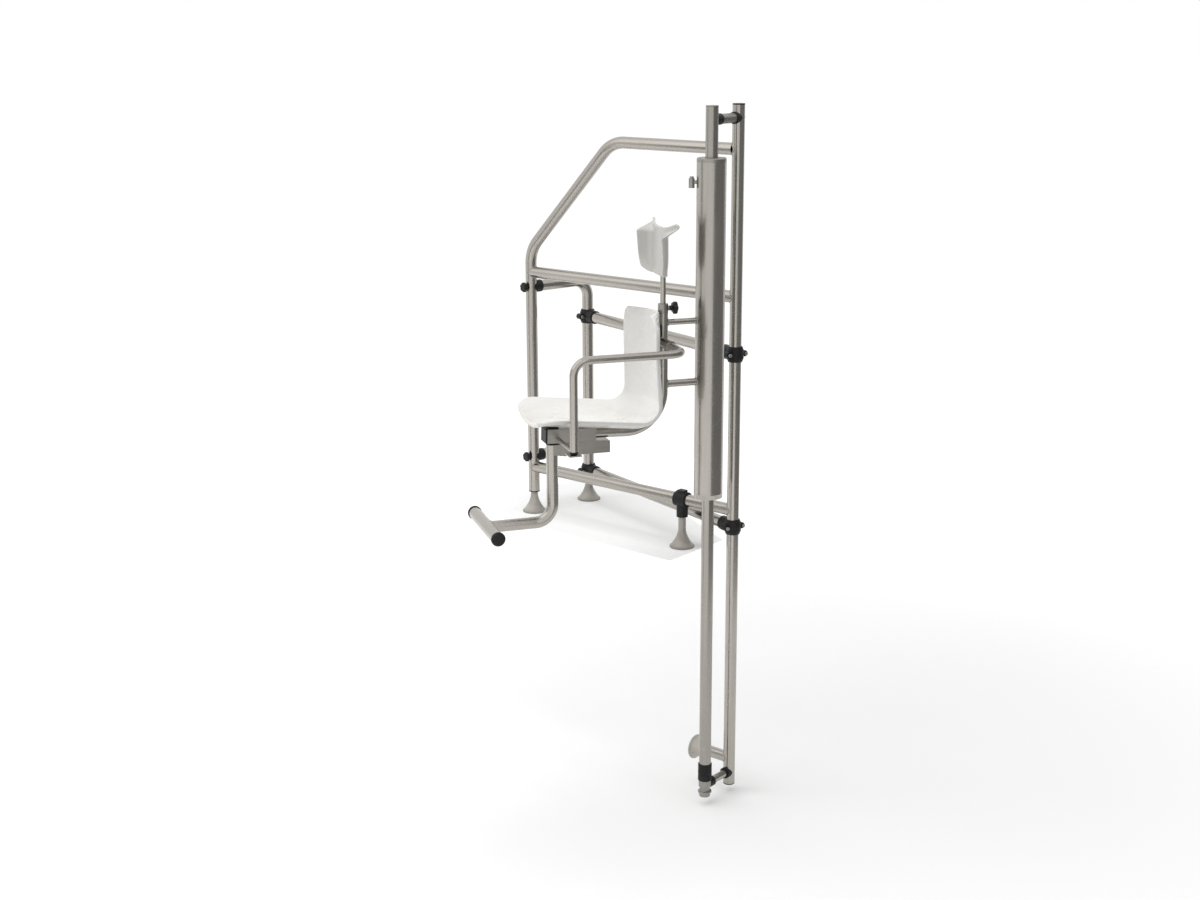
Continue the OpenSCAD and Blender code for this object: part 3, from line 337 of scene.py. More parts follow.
class Finish(Nodes):
    """A material built up from nodes, on coordinates that stay with the lift."""

    def __init__(self, name):
        self.material = bpy.data.materials.new(name)
        super().__init__(self.material)
        self.shader = self.add("ShaderNodeBsdfPrincipled")
        surface = Wire(self, self.shader.outputs["BSDF"])
        self.output = self.add("ShaderNodeOutputMaterial", None, {"Surface": surface})
        self.place = self.node("ShaderNodeTexCoord", out="Object")

    def set(self, **sockets):
        """Feeds the shader: underscores in a name stand for spaces."""
        for key, value in sockets.items():
            if isinstance(value, tuple):
                value = (*value, 1.0)
            self.feed(self.shader.inputs[key.replace("_", " ")], value)
        return self.material

    def stretched(self, scale, turn=(0.0, 0.0, 0.0)):
        """The lift's coordinates turned and then scaled: a pattern runs long where scale is small."""
        turned_place = self.node("ShaderNodeMapping", {"vector_type": "POINT"},
                                 {"Vector": self.place, "Rotation": turn})
        return self.node("ShaderNodeVectorMath", {"operation": "MULTIPLY"}, {0: turned_place, 1: scale})

    def noise(self, where, scale=1.0, detail=2.0, rough=0.5, bend=0.0):
        """Cloudy noise about 1/scale metres wide, with detail finer layers, each rough times as strong."""
        sockets = {"Vector": where, "Scale": scale, "Detail": detail, "Roughness": rough, "Distortion": bend}
        return self.node("ShaderNodeTexNoise", None, sockets)

    def cells(self, scale):
        """The distance to the nearest of many scattered points, which are about 1/scale metres apart."""
        return self.node("ShaderNodeTexVoronoi", None, {"Vector": self.place, "Scale": scale}, "Distance")

    def blend(self, share, first, second):
        """From one colour to the other as share goes from 0 to 1."""
        first, second = ((*c, 1.0) if isinstance(c, tuple) else c for c in (first, second))
        return self.node("ShaderNodeMix", {"data_type": "RGBA"}, {0: share, 6: first, 7: second}, out=2)

    def relief(self, height, depth, strength):
        """A bump of that depth in metres where height goes from 0 to 1."""
        return self.node("ShaderNodeBump", None, {"Height": height, "Distance": depth, "Strength": strength})


def polished_tube(name, grain, turn=(0.0, 0.0, 0.0), base=(0.43, 0.407, 0.372), gloss=0.20):
    """Polished stainless tube: fine lines along it, slow swells in its polish, and dried water marks."""
    f = Finish(name)
    lines = f.noise(f.stretched(grain, turn), 1.0, 3.0, 0.65)
    swells = f.noise(f.place, 5.0, 2.0, 0.5)
    marks = f.noise(f.place, 21.0, 5.0, 0.62, 0.4).step(0.56, 0.74)
    runs = f.noise(f.stretched((46.0, 46.0, 3.2)), 1.0, 4.0, 0.6).step(0.58, 0.78)
    dull = tuple(c * 0.93 for c in base)
    bright = tuple(c * 1.05 for c in base)
    tone = f.blend(lines.step(0.3, 0.7), dull, bright)
    tone = f.blend(marks * 0.14 + runs * 0.08, tone, (0.50, 0.48, 0.445))
    rough = gloss + 0.05 * lines + 0.06 * swells.step(0.35, 0.7) + 0.07 * marks + 0.04 * runs
    return f.set(Base_Color=tone, Metallic=1.0, Roughness=rough, Normal=f.relief(lines, 0.00001, 0.4))


def machined_steel(name, base=(0.36, 0.345, 0.32)):
    """Turned and cast fittings: a softer, greyer sheen with tool marks and small pits."""
    f = Finish(name)
    tool = f.noise(f.stretched((60.0, 60.0, 900.0)), 1.0, 2.0)
    pits = f.cells(520.0).step(0.05, 0.35)
    stain = f.noise(f.place, 30.0, 4.0, 0.6).step(0.5, 0.75)
    tone = f.blend(tool.step(0.3, 0.7) * 0.6, tuple(c * 0.84 for c in base), tuple(c * 1.1 for c in base))
    tone = f.blend(stain * 0.3, tone, (0.26, 0.235, 0.20))
    height = tool * 0.5 + pits * 0.5
    return f.set(Base_Color=tone, Metallic=1.0, Roughness=0.30 + 0.14 * tool + 0.10 * stain,
                 Normal=f.relief(height, 0.00004, 0.5))


def weld_metal(name):
    """Cleaned weld beads, a little duller than the tube, with straw and blue heat tints that come and go."""
    f = Finish(name)
    ripple = f.noise(f.place, 260.0, 3.0, 0.6)
    tint = f.noise(f.place, 38.0, 2.0)
    tone = f.blend(tint.step(0.42, 0.62), (0.42, 0.37, 0.30), (0.34, 0.345, 0.36))
    tone = f.blend(ripple.step(0.4, 0.7) * 0.5, tone, (0.47, 0.45, 0.415))
    return f.set(Base_Color=tone, Metallic=1.0, Roughness=0.34 + 0.16 * ripple,
                 Normal=f.relief(ripple, 0.00012, 0.7))


def black_moulding(name, grain=900.0, sheen=0.42):
    """Black nylon mouldings: fine spark grain, dusty grey where hands and weather have rubbed it."""
    f = Finish(name)
    spark = f.noise(f.place, grain, 2.0, 0.6)
    dust = f.noise(f.place, 34.0, 5.0, 0.62, 0.3).step(0.52, 0.78)
    nicks = f.noise(f.stretched((160.0, 160.0, 420.0)), 1.0, 3.0, 0.7).step(0.68, 0.75)
    tone = f.blend(spark.step(0.3, 0.7), (0.011, 0.011, 0.012), (0.017, 0.017, 0.018))
    tone = f.blend(dust * 0.35 + nicks * 0.3, tone, (0.060, 0.059, 0.056))
    return f.set(Base_Color=tone, Roughness=sheen + 0.12 * spark + 0.14 * dust, Specular_IOR_Level=0.25,
                 Normal=f.relief(spark, 0.00008, 0.5))


def rubber(name):
    """Black rubber: matt, with chalky bloom and a slightly pebbled skin."""
    f = Finish(name)
    pebbles = f.cells(700.0).step(0.0, 0.7)
    bloom = f.noise(f.place, 26.0, 4.0, 0.6).step(0.45, 0.8)
    tone = f.blend(bloom * 0.6, (0.014, 0.014, 0.014), (0.046, 0.045, 0.043))
    return f.set(Base_Color=tone, Roughness=0.62 + 0.16 * bloom, Specular_IOR_Level=0.25,
                 Normal=f.relief(pebbles, 0.00006, 0.5))


def cast_foot(name, low, high, axis, worn=(0.39, 0.368, 0.332), clean=(0.49, 0.465, 0.42)):
    """Pale grey cast bell: sandy skin, soft wear on the crown, and a grime line near its flat face."""
    f = Finish(name)
    sand = f.noise(f.place, 620.0, 3.0, 0.65)
    cloud = f.noise(f.place, 24.0, 3.0, 0.55)
    parts = f.node("ShaderNodeSeparateXYZ", None, {"Vector": f.place}, out=axis)
    grime = (1.0 - parts.step(low, high)) * (0.35 + 0.9 * cloud)
    tone = f.blend(cloud.step(0.3, 0.7), worn, clean)
    tone = f.blend(grime.step(0.1, 1.0) * 0.7, tone, (0.20, 0.185, 0.16))
    tone = f.blend(sand.step(0.56, 0.72) * 0.2, tone, (0.30, 0.29, 0.27))
    return f.set(Base_Color=tone, Metallic=0.25, Roughness=0.40 + 0.16 * sand + 0.16 * grime,
                 Normal=f.relief(sand, 0.00018, 0.6))


def shell_gelcoat(name, clean=(0.80, 0.795, 0.775), aged=(0.77, 0.755, 0.715)):
    """White moulded shell: glossy, with the mould's faint orange peel, rub marks and a little yellowing."""
    f = Finish(name)
    peel = f.noise(f.place, 210.0, 2.0, 0.5)
    cloud = f.noise(f.place, 6.0, 3.0, 0.5)
    rubs = f.noise(f.stretched((30.0, 30.0, 130.0), (0.3, 0.2, 0.9)), 1.0, 4.0, 0.7).step(0.6, 0.74)
    specks = f.cells(240.0).step(0.0, 0.05)
    tone = f.blend(cloud.step(0.35, 0.7), clean, aged)
    tone = f.blend(rubs * 0.09 + (1.0 - specks) * 0.12, tone, tuple(c * 0.75 for c in aged))
    return f.set(Base_Color=tone, Roughness=0.22 + 0.10 * cloud + 0.22 * rubs, Coat_Weight=0.35,
                 Normal=f.relief(peel, 0.00006, 0.35))


def bush_nylon(name):
    """Off-white bearing nylon with turning rings and a grey slide polish."""
    f = Finish(name)
    rings = f.noise(f.stretched((4.0, 4.0, 800.0)), 1.0, 2.0)
    smear = f.noise(f.place, 40.0, 4.0, 0.6).step(0.45, 0.75)
    tone = f.blend(smear * 0.6, (0.66, 0.64, 0.57), (0.42, 0.41, 0.375))
    return f.set(Base_Color=tone, Roughness=0.36 + 0.16 * rings, Normal=f.relief(rings, 0.00004, 0.5))


def piston_metal(name):
    """Turned bronze, browned by water in patches."""
    f = Finish(name)
    rings = f.noise(f.stretched((6.0, 6.0, 1000.0)), 1.0, 2.0)
    brown = f.noise(f.place, 60.0, 4.0, 0.6).step(0.45, 0.75)
    tone = f.blend(brown * 0.7, (0.46, 0.33, 0.17), (0.20, 0.13, 0.07))
    return f.set(Base_Color=tone, Metallic=1.0, Roughness=0.28 + 0.14 * rings + 0.18 * brown,
                 Normal=f.relief(rings, 0.00003, 0.5))


# Turns that lay a pattern's X along the chair, and along the braces
ALONG_CHAIR = (0.0, 0.0, -CHAIR_TURN)
ALONG_BRACES = (0.0, 0.0, -BRACE_TURN)
upright_steel = polished_tube("upright_tube", (420.0, 420.0, 5.0))
# The mast gets a darker copy of the tubes' steel: painted shade on the mast
mast_steel_painted_shade = polished_tube("mast_tube_painted_shade", (420.0, 420.0, 5.0), base=(0.36, 0.341, 0.311))
bent_steel = polished_tube("bent_tube", (260.0, 260.0, 260.0))
rail_steel = polished_tube("rail_tube", (5.0, 420.0, 420.0))
brace_steel = polished_tube("brace_tube", (5.0, 420.0, 420.0), ALONG_BRACES)
chair_steel = polished_tube("chair_tube", (9.0, 380.0, 380.0), ALONG_CHAIR)
box_steel = polished_tube("box_tube", (9.0, 300.0, 300.0), ALONG_CHAIR, (0.40, 0.38, 0.35), 0.28)
sleeve_steel = polished_tube("sleeve_tube", (300.0, 300.0, 4.0), base=(0.41, 0.387, 0.355), gloss=0.22)
fitting_steel = machined_steel("fitting_steel")
bolt_steel = machined_steel("bolt_steel", (0.52, 0.51, 0.48))
bead_metal = weld_metal("weld_bead")
black_nylon = black_moulding("black_nylon")
knob_black = black_moulding("knob_black", 600.0, 0.30)
black_rubber = rubber("black_rubber")
foot_pale = cast_foot("foot_casting", 0.0, 0.016, "Z")
# The wall pad gets a lighter copy of the feet's casting: painted light on the pad
pad_pale_painted_light = cast_foot("pad_casting_painted_light", 0.060, 0.084, "X", (0.48, 0.455, 0.415), (0.58, 0.55, 0.50))
white_shell = shell_gelcoat("white_shell")
grey_shell = shell_gelcoat("grey_shell", (0.545, 0.535, 0.51), (0.515, 0.50, 0.47))
white_bush = bush_nylon("white_bush")
bronze = piston_metal("piston_bronze")

NODE_FINISHES = {
    upright_steel: ["rear_post", "bush_stop_ring"],
    mast_steel_painted_shade: ["mast"],
    bent_steel: ["guard_rail", "back_leg", "spine", "armrest", "footrest_frame"],
    rail_steel: ["middle_rail", "lower_rail", "wall_pad_arm", "lower_link"],
    brace_steel: ["upper_brace", "lower_brace", "back_strut"],
    chair_steel: ["upper_arm", "lower_arm", "headrest_rod"],
    box_steel: ["seat_socket", "footrest_channel", "footrest_slider", "armrest_shelf", "armrest_boss"],
    sleeve_steel: ["sleeve"],
    fitting_steel: ["mast_cap", "sleeve_cap", "water_inlet", "bleed_valve", "headrest_collar", "upper_link"],
    bolt_steel: ["clamp_bolts"],
    black_nylon: ["front_tee_clamp", "back_clamp_upper", "back_clamp_lower", "rear_clamp_upper",
                  "rear_clamp_lower", "left_saddles", "left_hand_knobs", "foot_inserts", "post_plugs",
                  "upper_link_collars", "lower_link_collars", "socket_plug", "rod_guide", "footrest_caps",
                  "headrest_knob"],
    black_rubber: ["bump_stop", "armrest_tip", "seat_pads", "piston_seals", "rod_seals"],
    foot_pale: ["left_foot", "back_foot", "front_foot"],
    pad_pale_painted_light: ["wall_pad"],
    white_shell: ["seat_shell"],
    grey_shell: ["headrest_shell"],
    white_bush: ["upper_guide_bush", "lower_guide_bush"],
    bronze: ["piston"],
}
for finish, names in NODE_FINISHES.items():
    for name in names:
        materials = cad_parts[name].data.materials
        materials.clear()
        materials.append(finish)

# Pieces


def rounded_ring(long_steps, short_steps, corner_steps):
    """Points round an oblong with quarter-round corners, for any size and radius.

    Each point is a place on the rectangle of the corners' centres, from -1 to 1 both ways, and the way
    out from there. The four sides run between the four corners, and share their ends' way out.
    """
    signs = [(1.0, 1.0), (-1.0, 1.0), (-1.0, -1.0), (1.0, -1.0), (1.0, 1.0)]
    runs = []
    for k, steps in enumerate((long_steps, short_steps, long_steps, short_steps)):
        here = np.array(signs[k])[:, None]
        there = np.array(signs[k + 1])[:, None]
        angle = math.pi / 2 * (k + np.linspace(0.0, 1.0, corner_steps))
        way = np.stack([np.cos(angle), np.sin(angle)])
        runs.append(np.vstack([here + 0.0 * way, way]))
        share = np.linspace(0.0, 1.0, steps + 2)[1:-1]
        runs.append(np.vstack([here + (there - here) * share, way[:, -1:] + 0.0 * share]))
    return np.concatenate(runs, axis=1)


# The rolled rim's thickening eases out over this width
ROLL_WIDTH = 19.0
# Rings over each face of a shell, and steps round its rim
FACE_RINGS = 14
RIM_STEPS = 9


def tablet(half_x, half_y, corner, low, high, surface, roll=None, counts=(70, 18, 9)):
    """A closed skin over an oblong with round corners, its edge a half round.

    Rings run out over the high face, round the edge and in over the low face, crowded towards the edge by
    the power 1.6. A ring's points lie inset from the edge: at their corner's centre, plus what the inset
    leaves of its radius. roll(x, y) thickens the low face at the edge. surface(x, y, lift) gives each
    point its place.
    """
    side_x, side_y, out_x, out_y = rounded_ring(*counts)

    def spread(inset):
        """Where the rings at those insets run, to x and to y."""
        centre = np.maximum(corner, inset)
        left = np.maximum(corner - inset, 0.0)
        return side_x * (half_x - centre) + out_x * left, side_y * (half_y - centre) + out_y * left

    edge = spread(np.zeros((1, 1)))
    extra = roll(*edge) if roll else np.zeros_like(edge[0])
    radius = 0.5 * (high - low + extra)
    reach = min(half_x, half_y)
    face = radius + (reach - radius) * np.linspace(1.0, 0.0, FACE_RINGS)[:, None] ** 1.6
    angle = np.linspace(0.0, math.pi, RIM_STEPS)[1:-1, None]
    inset = np.vstack([face, radius * (1.0 - np.sin(angle)), face[::-1]])
    rim = 0.5 * (high + low - extra) + radius * np.cos(angle)
    under = low - extra * ease(1.0 - (face[::-1] - radius) / ROLL_WIDTH)
    lift = np.vstack([high + 0.0 * face, rim, under])
    points = surface(*spread(inset), lift)
    return points.reshape(-1, 3), grid_faces(len(inset), inset.shape[1], ring_cols=True)


# The bucket's middle line: straight down the back, round a bend, and on with the seat's slope
BEND_S = 300.0
BEND_Z = 654.62
BEND_R = 107.5
BEND_TURN = math.radians(96.0)
SEAT_SLOPE = math.radians(6.0)
BACK_LEN = 936.0 - BEND_Z
BEND_LEN = BEND_R * BEND_TURN
SEAT_LEN = (650.0 - BEND_S - BEND_R * math.sin(SEAT_SLOPE)) / math.cos(SEAT_SLOPE)
SHELL_LEN = BACK_LEN + BEND_LEN + SEAT_LEN
SEAT_HALF = 190.0
BACK_HALF = 172.0
SHELL_CORNER = 70.0
SHELL_WALL = 6.0
# The sides' rise and the power it grows by on the seat, and what the back adds to each
SIDE_RISE = 47.0
SIDE_POWER = 2.6
BACK_RISE = 11.0
BACK_POWER = -0.9
# The back keeps its form down to here, from the top, and then eases into the seat's
BACK_STEADY = 0.3 * BACK_LEN
# At the front edge the sides are lower by this share, and the edge rolls down this far
FRONT_LOSS = 0.45
FRONT_ROLL = 3.0


def bucket_surface(x, y, lift):
    """Where a place on the bucket lies: x along its middle line, y to the side, lift off its surface.

    The sides rise off the middle line as a power of their share of the half width, which is steeper on
    the back. The front edge rolls down, as the square of its nearness.
    """
    q = x + SHELL_LEN / 2
    bend = math.pi + BEND_TURN * np.clip((q - BACK_LEN) / BEND_LEN, 0.0, 1.0)
    run = np.maximum(q - BACK_LEN - BEND_LEN, 0.0)
    s = BEND_S + BEND_R * np.cos(bend) + run * math.cos(SEAT_SLOPE)
    z = BEND_Z + BEND_R * np.sin(bend) + run * math.sin(SEAT_SLOPE) + np.maximum(BACK_LEN - q, 0.0)
    back = 1.0 - ease((q - BACK_STEADY) / (BEND_LEN + BACK_LEN - BACK_STEADY))
    widest = SEAT_HALF + (BACK_HALF - SEAT_HALF) * back
    near_end = SHELL_CORNER - np.clip(np.minimum(q, SHELL_LEN - q), 0.0, SHELL_CORNER)
    half = widest - SHELL_CORNER + np.sqrt(SHELL_CORNER**2 - near_end**2)
    w = y * widest / SEAT_HALF
    side = np.minimum(np.abs(w) / half, 1.0)
    front = np.clip(1.0 - (SHELL_LEN - q) / SHELL_CORNER, 0.0, 1.0)
    rise = (SIDE_RISE + BACK_RISE * back) * side ** (SIDE_POWER + BACK_POWER * back)
    rise = rise * (1.0 - FRONT_LOSS * front**2) - FRONT_ROLL * front**2 + lift
    return chair_point(s - np.cos(bend) * rise, w, z - np.sin(bend) * rise)


def bucket_roll(x, y):
    """How much thicker the rolled rim is: 8 mm at the sides, easing to less at the top and the front."""
    q = x + SHELL_LEN / 2
    front = np.clip(1.0 - (SHELL_LEN - q) / SHELL_CORNER, 0.0, 1.0)
    return 8.0 * (0.4 + 0.6 * ease(q / 40.0)) * (1.0 - 0.4 * front)


# The headrest: how far forward its middle stands, its foot's height, and its height, half width, corners'
# radius and wall
REST_S = SPINE_S + 12.3
REST_LOW_Z = 1052.0
REST_H = 176.0
REST_HALF = 125.0
REST_CORNER = 20.0
REST_WALL = 5.0
# The foot's share of the full width, and the share of the height over which it widens
REST_TOE = 0.64
REST_SWELL = 0.45
# How far the wings reach forward at the top, and their share of that at the foot
WING_REACH = 42.0
WING_FOOT = 0.7
# The top lip starts at this share of the height and is full after this much more
LIP_START = 0.79
LIP_REACH = 0.12
# The lip's ends go back and up this far, its middle dips, and the foot's ends rise
LIP_BACK = 22.0
EAR_RISE = 16.0
LIP_DIP = 10.0
TOE_RISE = 7.0
# The boss between the headrest and its rod: the height of its middle, half its height and width, its
# corners' radius, and how far its two faces stand forward of the rod's axis
BOSS_Z = 1148.8
BOSS_HALF_H = 36.0
BOSS_HALF_W = 17.0
BOSS_CORNER = 8.0
BOSS_BACK = 0.5
BOSS_FRONT = 11.5


def headrest_surface(x, y, lift):
    """Where a place on the headrest lies: x up from its middle, y to the side, lift off its surface.

    Its half width grows from the foot as a quarter circle. The back is flat and turns forward into wings
    as the seventh power of the share of the half width. Over the top fifth a lip curls back and its ends
    rise, as the third power of that share.
    """
    h = x / REST_H + 0.5
    c = y / REST_HALF
    low = 1.0 - np.clip(h / REST_SWELL, 0.0, 1.0)
    half = REST_HALF * (REST_TOE + (1.0 - REST_TOE) * np.sqrt(1.0 - low**2))
    lip = ease((h - LIP_START) / LIP_REACH)
    end = np.abs(c) ** 3
    wing = WING_REACH * (WING_FOOT + (1.0 - WING_FOOT) * h) * (1.0 - lip)
    slope = (7.0 * wing * c**6 - 3.0 * LIP_BACK * lip * c**2) / half
    lean = np.sqrt(1.0 + slope**2)
    s = REST_S + wing * np.abs(c) ** 7 - LIP_BACK * lip * end + lift / lean
    w = half * c - np.sign(c) * lift * slope / lean
    ears = (EAR_RISE * end - LIP_DIP * (1.0 - c**2)) * lip * h
    z = REST_LOW_Z + REST_H * h + ears + TOE_RISE * (1.0 - h) ** 2 * end
    return chair_point(s, w, z)


def headrest_roll(x, y):
    """How much thicker the headrest's rolled rim is: 5 mm at the top, and 3 mm from half way down."""
    return 3.0 + 2.0 * ease(2.0 * x / REST_H)


def boss_surface(x, y, lift):
    """The boss between the headrest and its rod: x up, y to the side, lift forward of the rod's axis."""
    return chair_point(SPINE_S + lift, y, BOSS_Z + x)


bucket = make_piece("seat_bucket", [
    tablet(SHELL_LEN / 2, SEAT_HALF, SHELL_CORNER, 0.0, SHELL_WALL, bucket_surface, bucket_roll)])
fit_out(bucket, "sleeve", "shell_white", white_shell, "seat_shell")

rest = make_piece("headrest_bucket", [
    tablet(REST_H / 2, REST_HALF, REST_CORNER, -REST_WALL / 2, REST_WALL / 2, headrest_surface,
           headrest_roll, (40, 60, 9)),
    tablet(BOSS_HALF_H, BOSS_HALF_W, BOSS_CORNER, BOSS_BACK, BOSS_FRONT, boss_surface, counts=(8, 4, 5))])
fit_out(rest, "headrest", "shell_white", grey_shell, "headrest_shell")


def bell_outline(neck_r, sole=6.0):
    """Half outline of a bell foot: flat sole, round lip, then a flank that falls in as the power 1.8."""
    t = np.linspace(0.0, 1.0, 36)
    height = sole + (BELL_H - sole) * t
    flank = neck_r + (BELL_FLAT_R - sole / 2 - neck_r) * (1.0 - t) ** 1.8
    lip = rounded([(0.0, 0.0), (BELL_FLAT_R, 0.0), (BELL_FLAT_R, sole), (flank[1], height[1])], 2.4)
    return np.vstack([lip, np.stack([flank[2:], height[2:]], axis=1)])


def foot(stem):
    """A bell foot on the deck with its stem up to that height."""
    return turned(np.vstack([bell_outline(FOOT_NECK_R), [(FOOT_NECK_R, stem), (0.0, stem)]]))


for node, place, stem in (("left_foot", LEFT, SIDE_STEM), ("back_foot", BACK, SIDE_STEM),
                          ("front_foot", np.zeros(3), FRONT_STEM)):
    bell = make_piece(node + "_bell", [stood(foot(stem), place)])
    fit_out(bell, "frame", "foot_casting", foot_pale, node)

pad_stem = [(PAD_STEM_R, BELL_H), (PAD_STEM_R, PAD_STEM), (0.0, PAD_STEM)]
pad_form = turned(np.vstack([bell_outline(PAD_NECK_R), pad_stem]))
pad = make_piece("wall_pad_bell", [stood(pad_form, (PAD_X, 0.0, PAD_Z), ALONG_RAILS)])
fit_out(pad, "frame", "foot_casting", pad_pale_painted_light, "wall_pad")

# Hand knobs on the left post, and the headrest's clamping knob
collar_outline = rounded([(0.0, 0.0), (9.5, 0.0), (9.5, 7.0), (0.0, 7.0)], 1.0)
grip_outline = rounded([(0.0, 6.0), (18.5, 6.0), (18.5, 19.0), (11.0, 22.0), (9.0, 20.4), (0.0, 20.4)], 2.5)
knobs = []
for height in (UPPER_SADDLE_Z, LOWER_SADDLE_Z):
    root = LEFT + TUBE_R * OFF_LEFT_POST + height * UP
    knobs += [stood(turned(collar_outline, 48), root, OFF_LEFT_POST),
              stood(turned(grip_outline, dips=6, dip=0.15), root, OFF_LEFT_POST)]
fit_out(make_piece("hand_knobs", knobs), "frame", "black_plastic", knob_black, "left_hand_knobs")

screw_root = chair_point(SPINE_S, 0.0, CLAMP_SCREW_Z)
screw_outline = rounded([(0.0, 9.6), (4.0, 9.6), (4.0, 21.0), (8.5, 21.0), (8.5, 34.0), (0.0, 34.0)], 0.8)
star_outline = rounded([(0.0, 33.0), (9.0, 33.0), (21.5, 35.5), (21.5, 48.0), (13.0, 51.5), (11.0, 49.8),
                        (0.0, 49.8)], 2.5)
star = make_piece("star_knob", [stood(turned(screw_outline, 48), screw_root, -FORWARD),
                                stood(turned(star_outline, dips=5, dip=0.2), screw_root, -FORWARD)])
fit_out(star, "headrest_knob", "black_plastic", knob_black, "headrest_knob")

# End caps of the foot bar and the upright, and the armrest's tip
cap_outline = rounded([(0.0, -20.0), (19.5, -20.0), (19.5, -0.4), (24.0, 0.0), (24.0, 9.0), (17.0, 14.0),
                       (0.0, 14.0)], 2.5)
top_outline = rounded([(0.0, -20.0), (18.0, -20.0), (18.0, 0.0), (20.0, 0.0), (20.0, 3.0), (0.0, 3.0)], 0.8)
caps = []
for side in (-1, 1):
    bar_end = chair_point(FOOT_BAR_S, side * FOOT_BAR_HALF, FOOT_BAR_Z)
    caps.append(stood(turned(cap_outline), bar_end, side * ACROSS))
caps.append(stood(turned(top_outline), chair_point(UPRIGHT_S, 0.0, UPRIGHT_TOP_Z)))
fit_out(make_piece("foot_bar_caps", caps), "footrest", "black_plastic", black_nylon, "footrest_caps")

tip_outline = rounded([(0.0, 0.0), (8.5, 0.0), (13.5, 5.0), (13.5, 10.0), (11.5, 10.0), (11.5, 30.0),
                       (0.0, 30.0)], 1.6)
tip = make_piece("armrest_rubber_tip", [stood(turned(tip_outline, 64), chair_point(*ARMREST_TIP))])
fit_out(tip, "armrest", "black_rubber", black_rubber, "armrest_tip")

stop_outline = rounded([(21.5, 0.0), (25.0, 0.0), (25.0, 19.0), (24.0, 21.0), (25.0, 23.0), (25.0, 41.0),
                        (24.0, 43.0), (25.0, 45.0), (25.0, 64.0), (21.5, 64.0)], 1.2)
stop = make_piece("bump_sleeve", [stood(turned(stop_outline, ring=True), MAST + BUMP_STOP_Z * UP)])
fit_out(stop, "frame", "black_rubber", black_rubber, "bump_stop")

# Moulded and machined parts that keep their solids' shape and get rounded edges
SOFTENED = [
    ("front_tee_clamp", "frame", "black_plastic", black_nylon),
    ("back_clamp_upper", "frame", "black_plastic", black_nylon),
    ("back_clamp_lower", "frame", "black_plastic", black_nylon),
    ("rear_clamp_upper", "frame", "black_plastic", black_nylon),
    ("rear_clamp_lower", "frame", "black_plastic", black_nylon),
    ("left_saddles", "frame", "black_plastic", black_nylon),
    ("upper_link_collars", "frame", "black_plastic", black_nylon),
    ("lower_link_collars", "frame", "black_plastic", black_nylon),
    ("post_plugs", "frame", "black_plastic", black_nylon),
    ("socket_plug", "sleeve", "black_plastic", black_nylon),
    ("mast_cap", "frame", "fitting_steel", fitting_steel),
    ("clamp_bolts", "frame", "fitting_steel", bolt_steel),
    ("water_inlet", "frame", "fitting_steel", fitting_steel),
    ("bleed_valve", "sleeve", "fitting_steel", fitting_steel),
    ("headrest_collar", "sleeve", "fitting_steel", fitting_steel),
    ("seat_socket", "sleeve", "tube_steel", box_steel),
    ("footrest_channel", "sleeve", "tube_steel", box_steel),
    ("armrest_shelf", "sleeve", "tube_steel", box_steel),
]
for node, body, slot, finish in SOFTENED:
    fit_out(softened(node), body, slot, finish, node)

# Weld beads where tube meets tube
frame_beads = []
for height in (MIDDLE_RAIL_Z, LOWER_RAIL_Z):
    frame_beads.append(weld_bead(LEFT + height * UP, ALONG_RAILS, TUBE_R, LEFT, UP, TUBE_R))
    frame_beads.append(weld_bead(REAR + height * UP, -ALONG_RAILS, TUBE_R, REAR, UP, TUBE_R))
frame_beads.append(weld_bead(REAR + TOP_RAIL_Z * UP, -ALONG_RAILS, TUBE_R, REAR, UP, TUBE_R))
frame_beads.append(weld_bead(BACK + LOWER_SADDLE_Z * UP, OFF_LEFT_POST, TUBE_R, BACK, UP, TUBE_R))
frame_beads.append(weld_bead(REAR + PAD_Z * UP, -ALONG_RAILS, PAD_NECK_R, REAR, UP, TUBE_R))
fit_out(make_piece("frame_welds", frame_beads), "frame", "tube_steel", bead_metal)

sleeve_beads = []
for height, bar_r in CHAIR_ARMS:
    spine_line = chair_point(SPINE_S, 0.0, height)
    sleeve_beads.append(weld_bead(MAST + height * UP, FORWARD, bar_r, MAST, UP, SLEEVE_R))
    sleeve_beads.append(weld_bead(spine_line, -FORWARD, bar_r, spine_line, UP, SPINE_R))
fit_out(make_piece("sleeve_welds", sleeve_beads), "sleeve", "tube_steel", bead_metal)

bar_line = chair_point(FOOT_BAR_S, 0.0, FOOT_BAR_Z)
tube_line = chair_point(FOOT_BAR_S, 0.0, FOOT_TUBE_Z)
bar_bead = weld_bead(tube_line, -FORWARD, FOOT_TUBE_R, bar_line, ACROSS, FOOT_BAR_R)
fit_out(make_piece("foot_bar_weld", [bar_bead]), "footrest", "tube_steel", bead_metal)

# Light, floor and camera


def stage_finish(name, albedo, near_light, far_light, near=1.2, far=5.0):
    """Plain diffuse with its own light for the eye and for reflections, which grows from near to far."""
    f = Finish(name)
    eye = f.node("ShaderNodeLightPath", out="Is Camera Ray")
    mirror = f.node("ShaderNodeLightPath", out="Is Glossy Ray")
    through = f.node("ShaderNodeLightPath", out="Is Transmission Ray")
    seen = eye.maths("MAXIMUM", eye.maths("MAXIMUM", eye, mirror), through)
    away = f.node("ShaderNodeVectorMath", {"operation": "LENGTH"}, {0: f.place}, out="Value").step(near, far)
    matt = f.node("ShaderNodeBsdfDiffuse", None, {"Color": (albedo, albedo, albedo, 1.0)})
    own_light = near_light + (far_light - near_light) * away
    glow = f.node("ShaderNodeEmission", None, {"Strength": seen * own_light})
    both = f.node("ShaderNodeAddShader", None, {0: matt, 1: glow})
    f.feed(f.output.inputs["Surface"], both)
    f.tree.nodes.remove(f.shader)
    return f.material


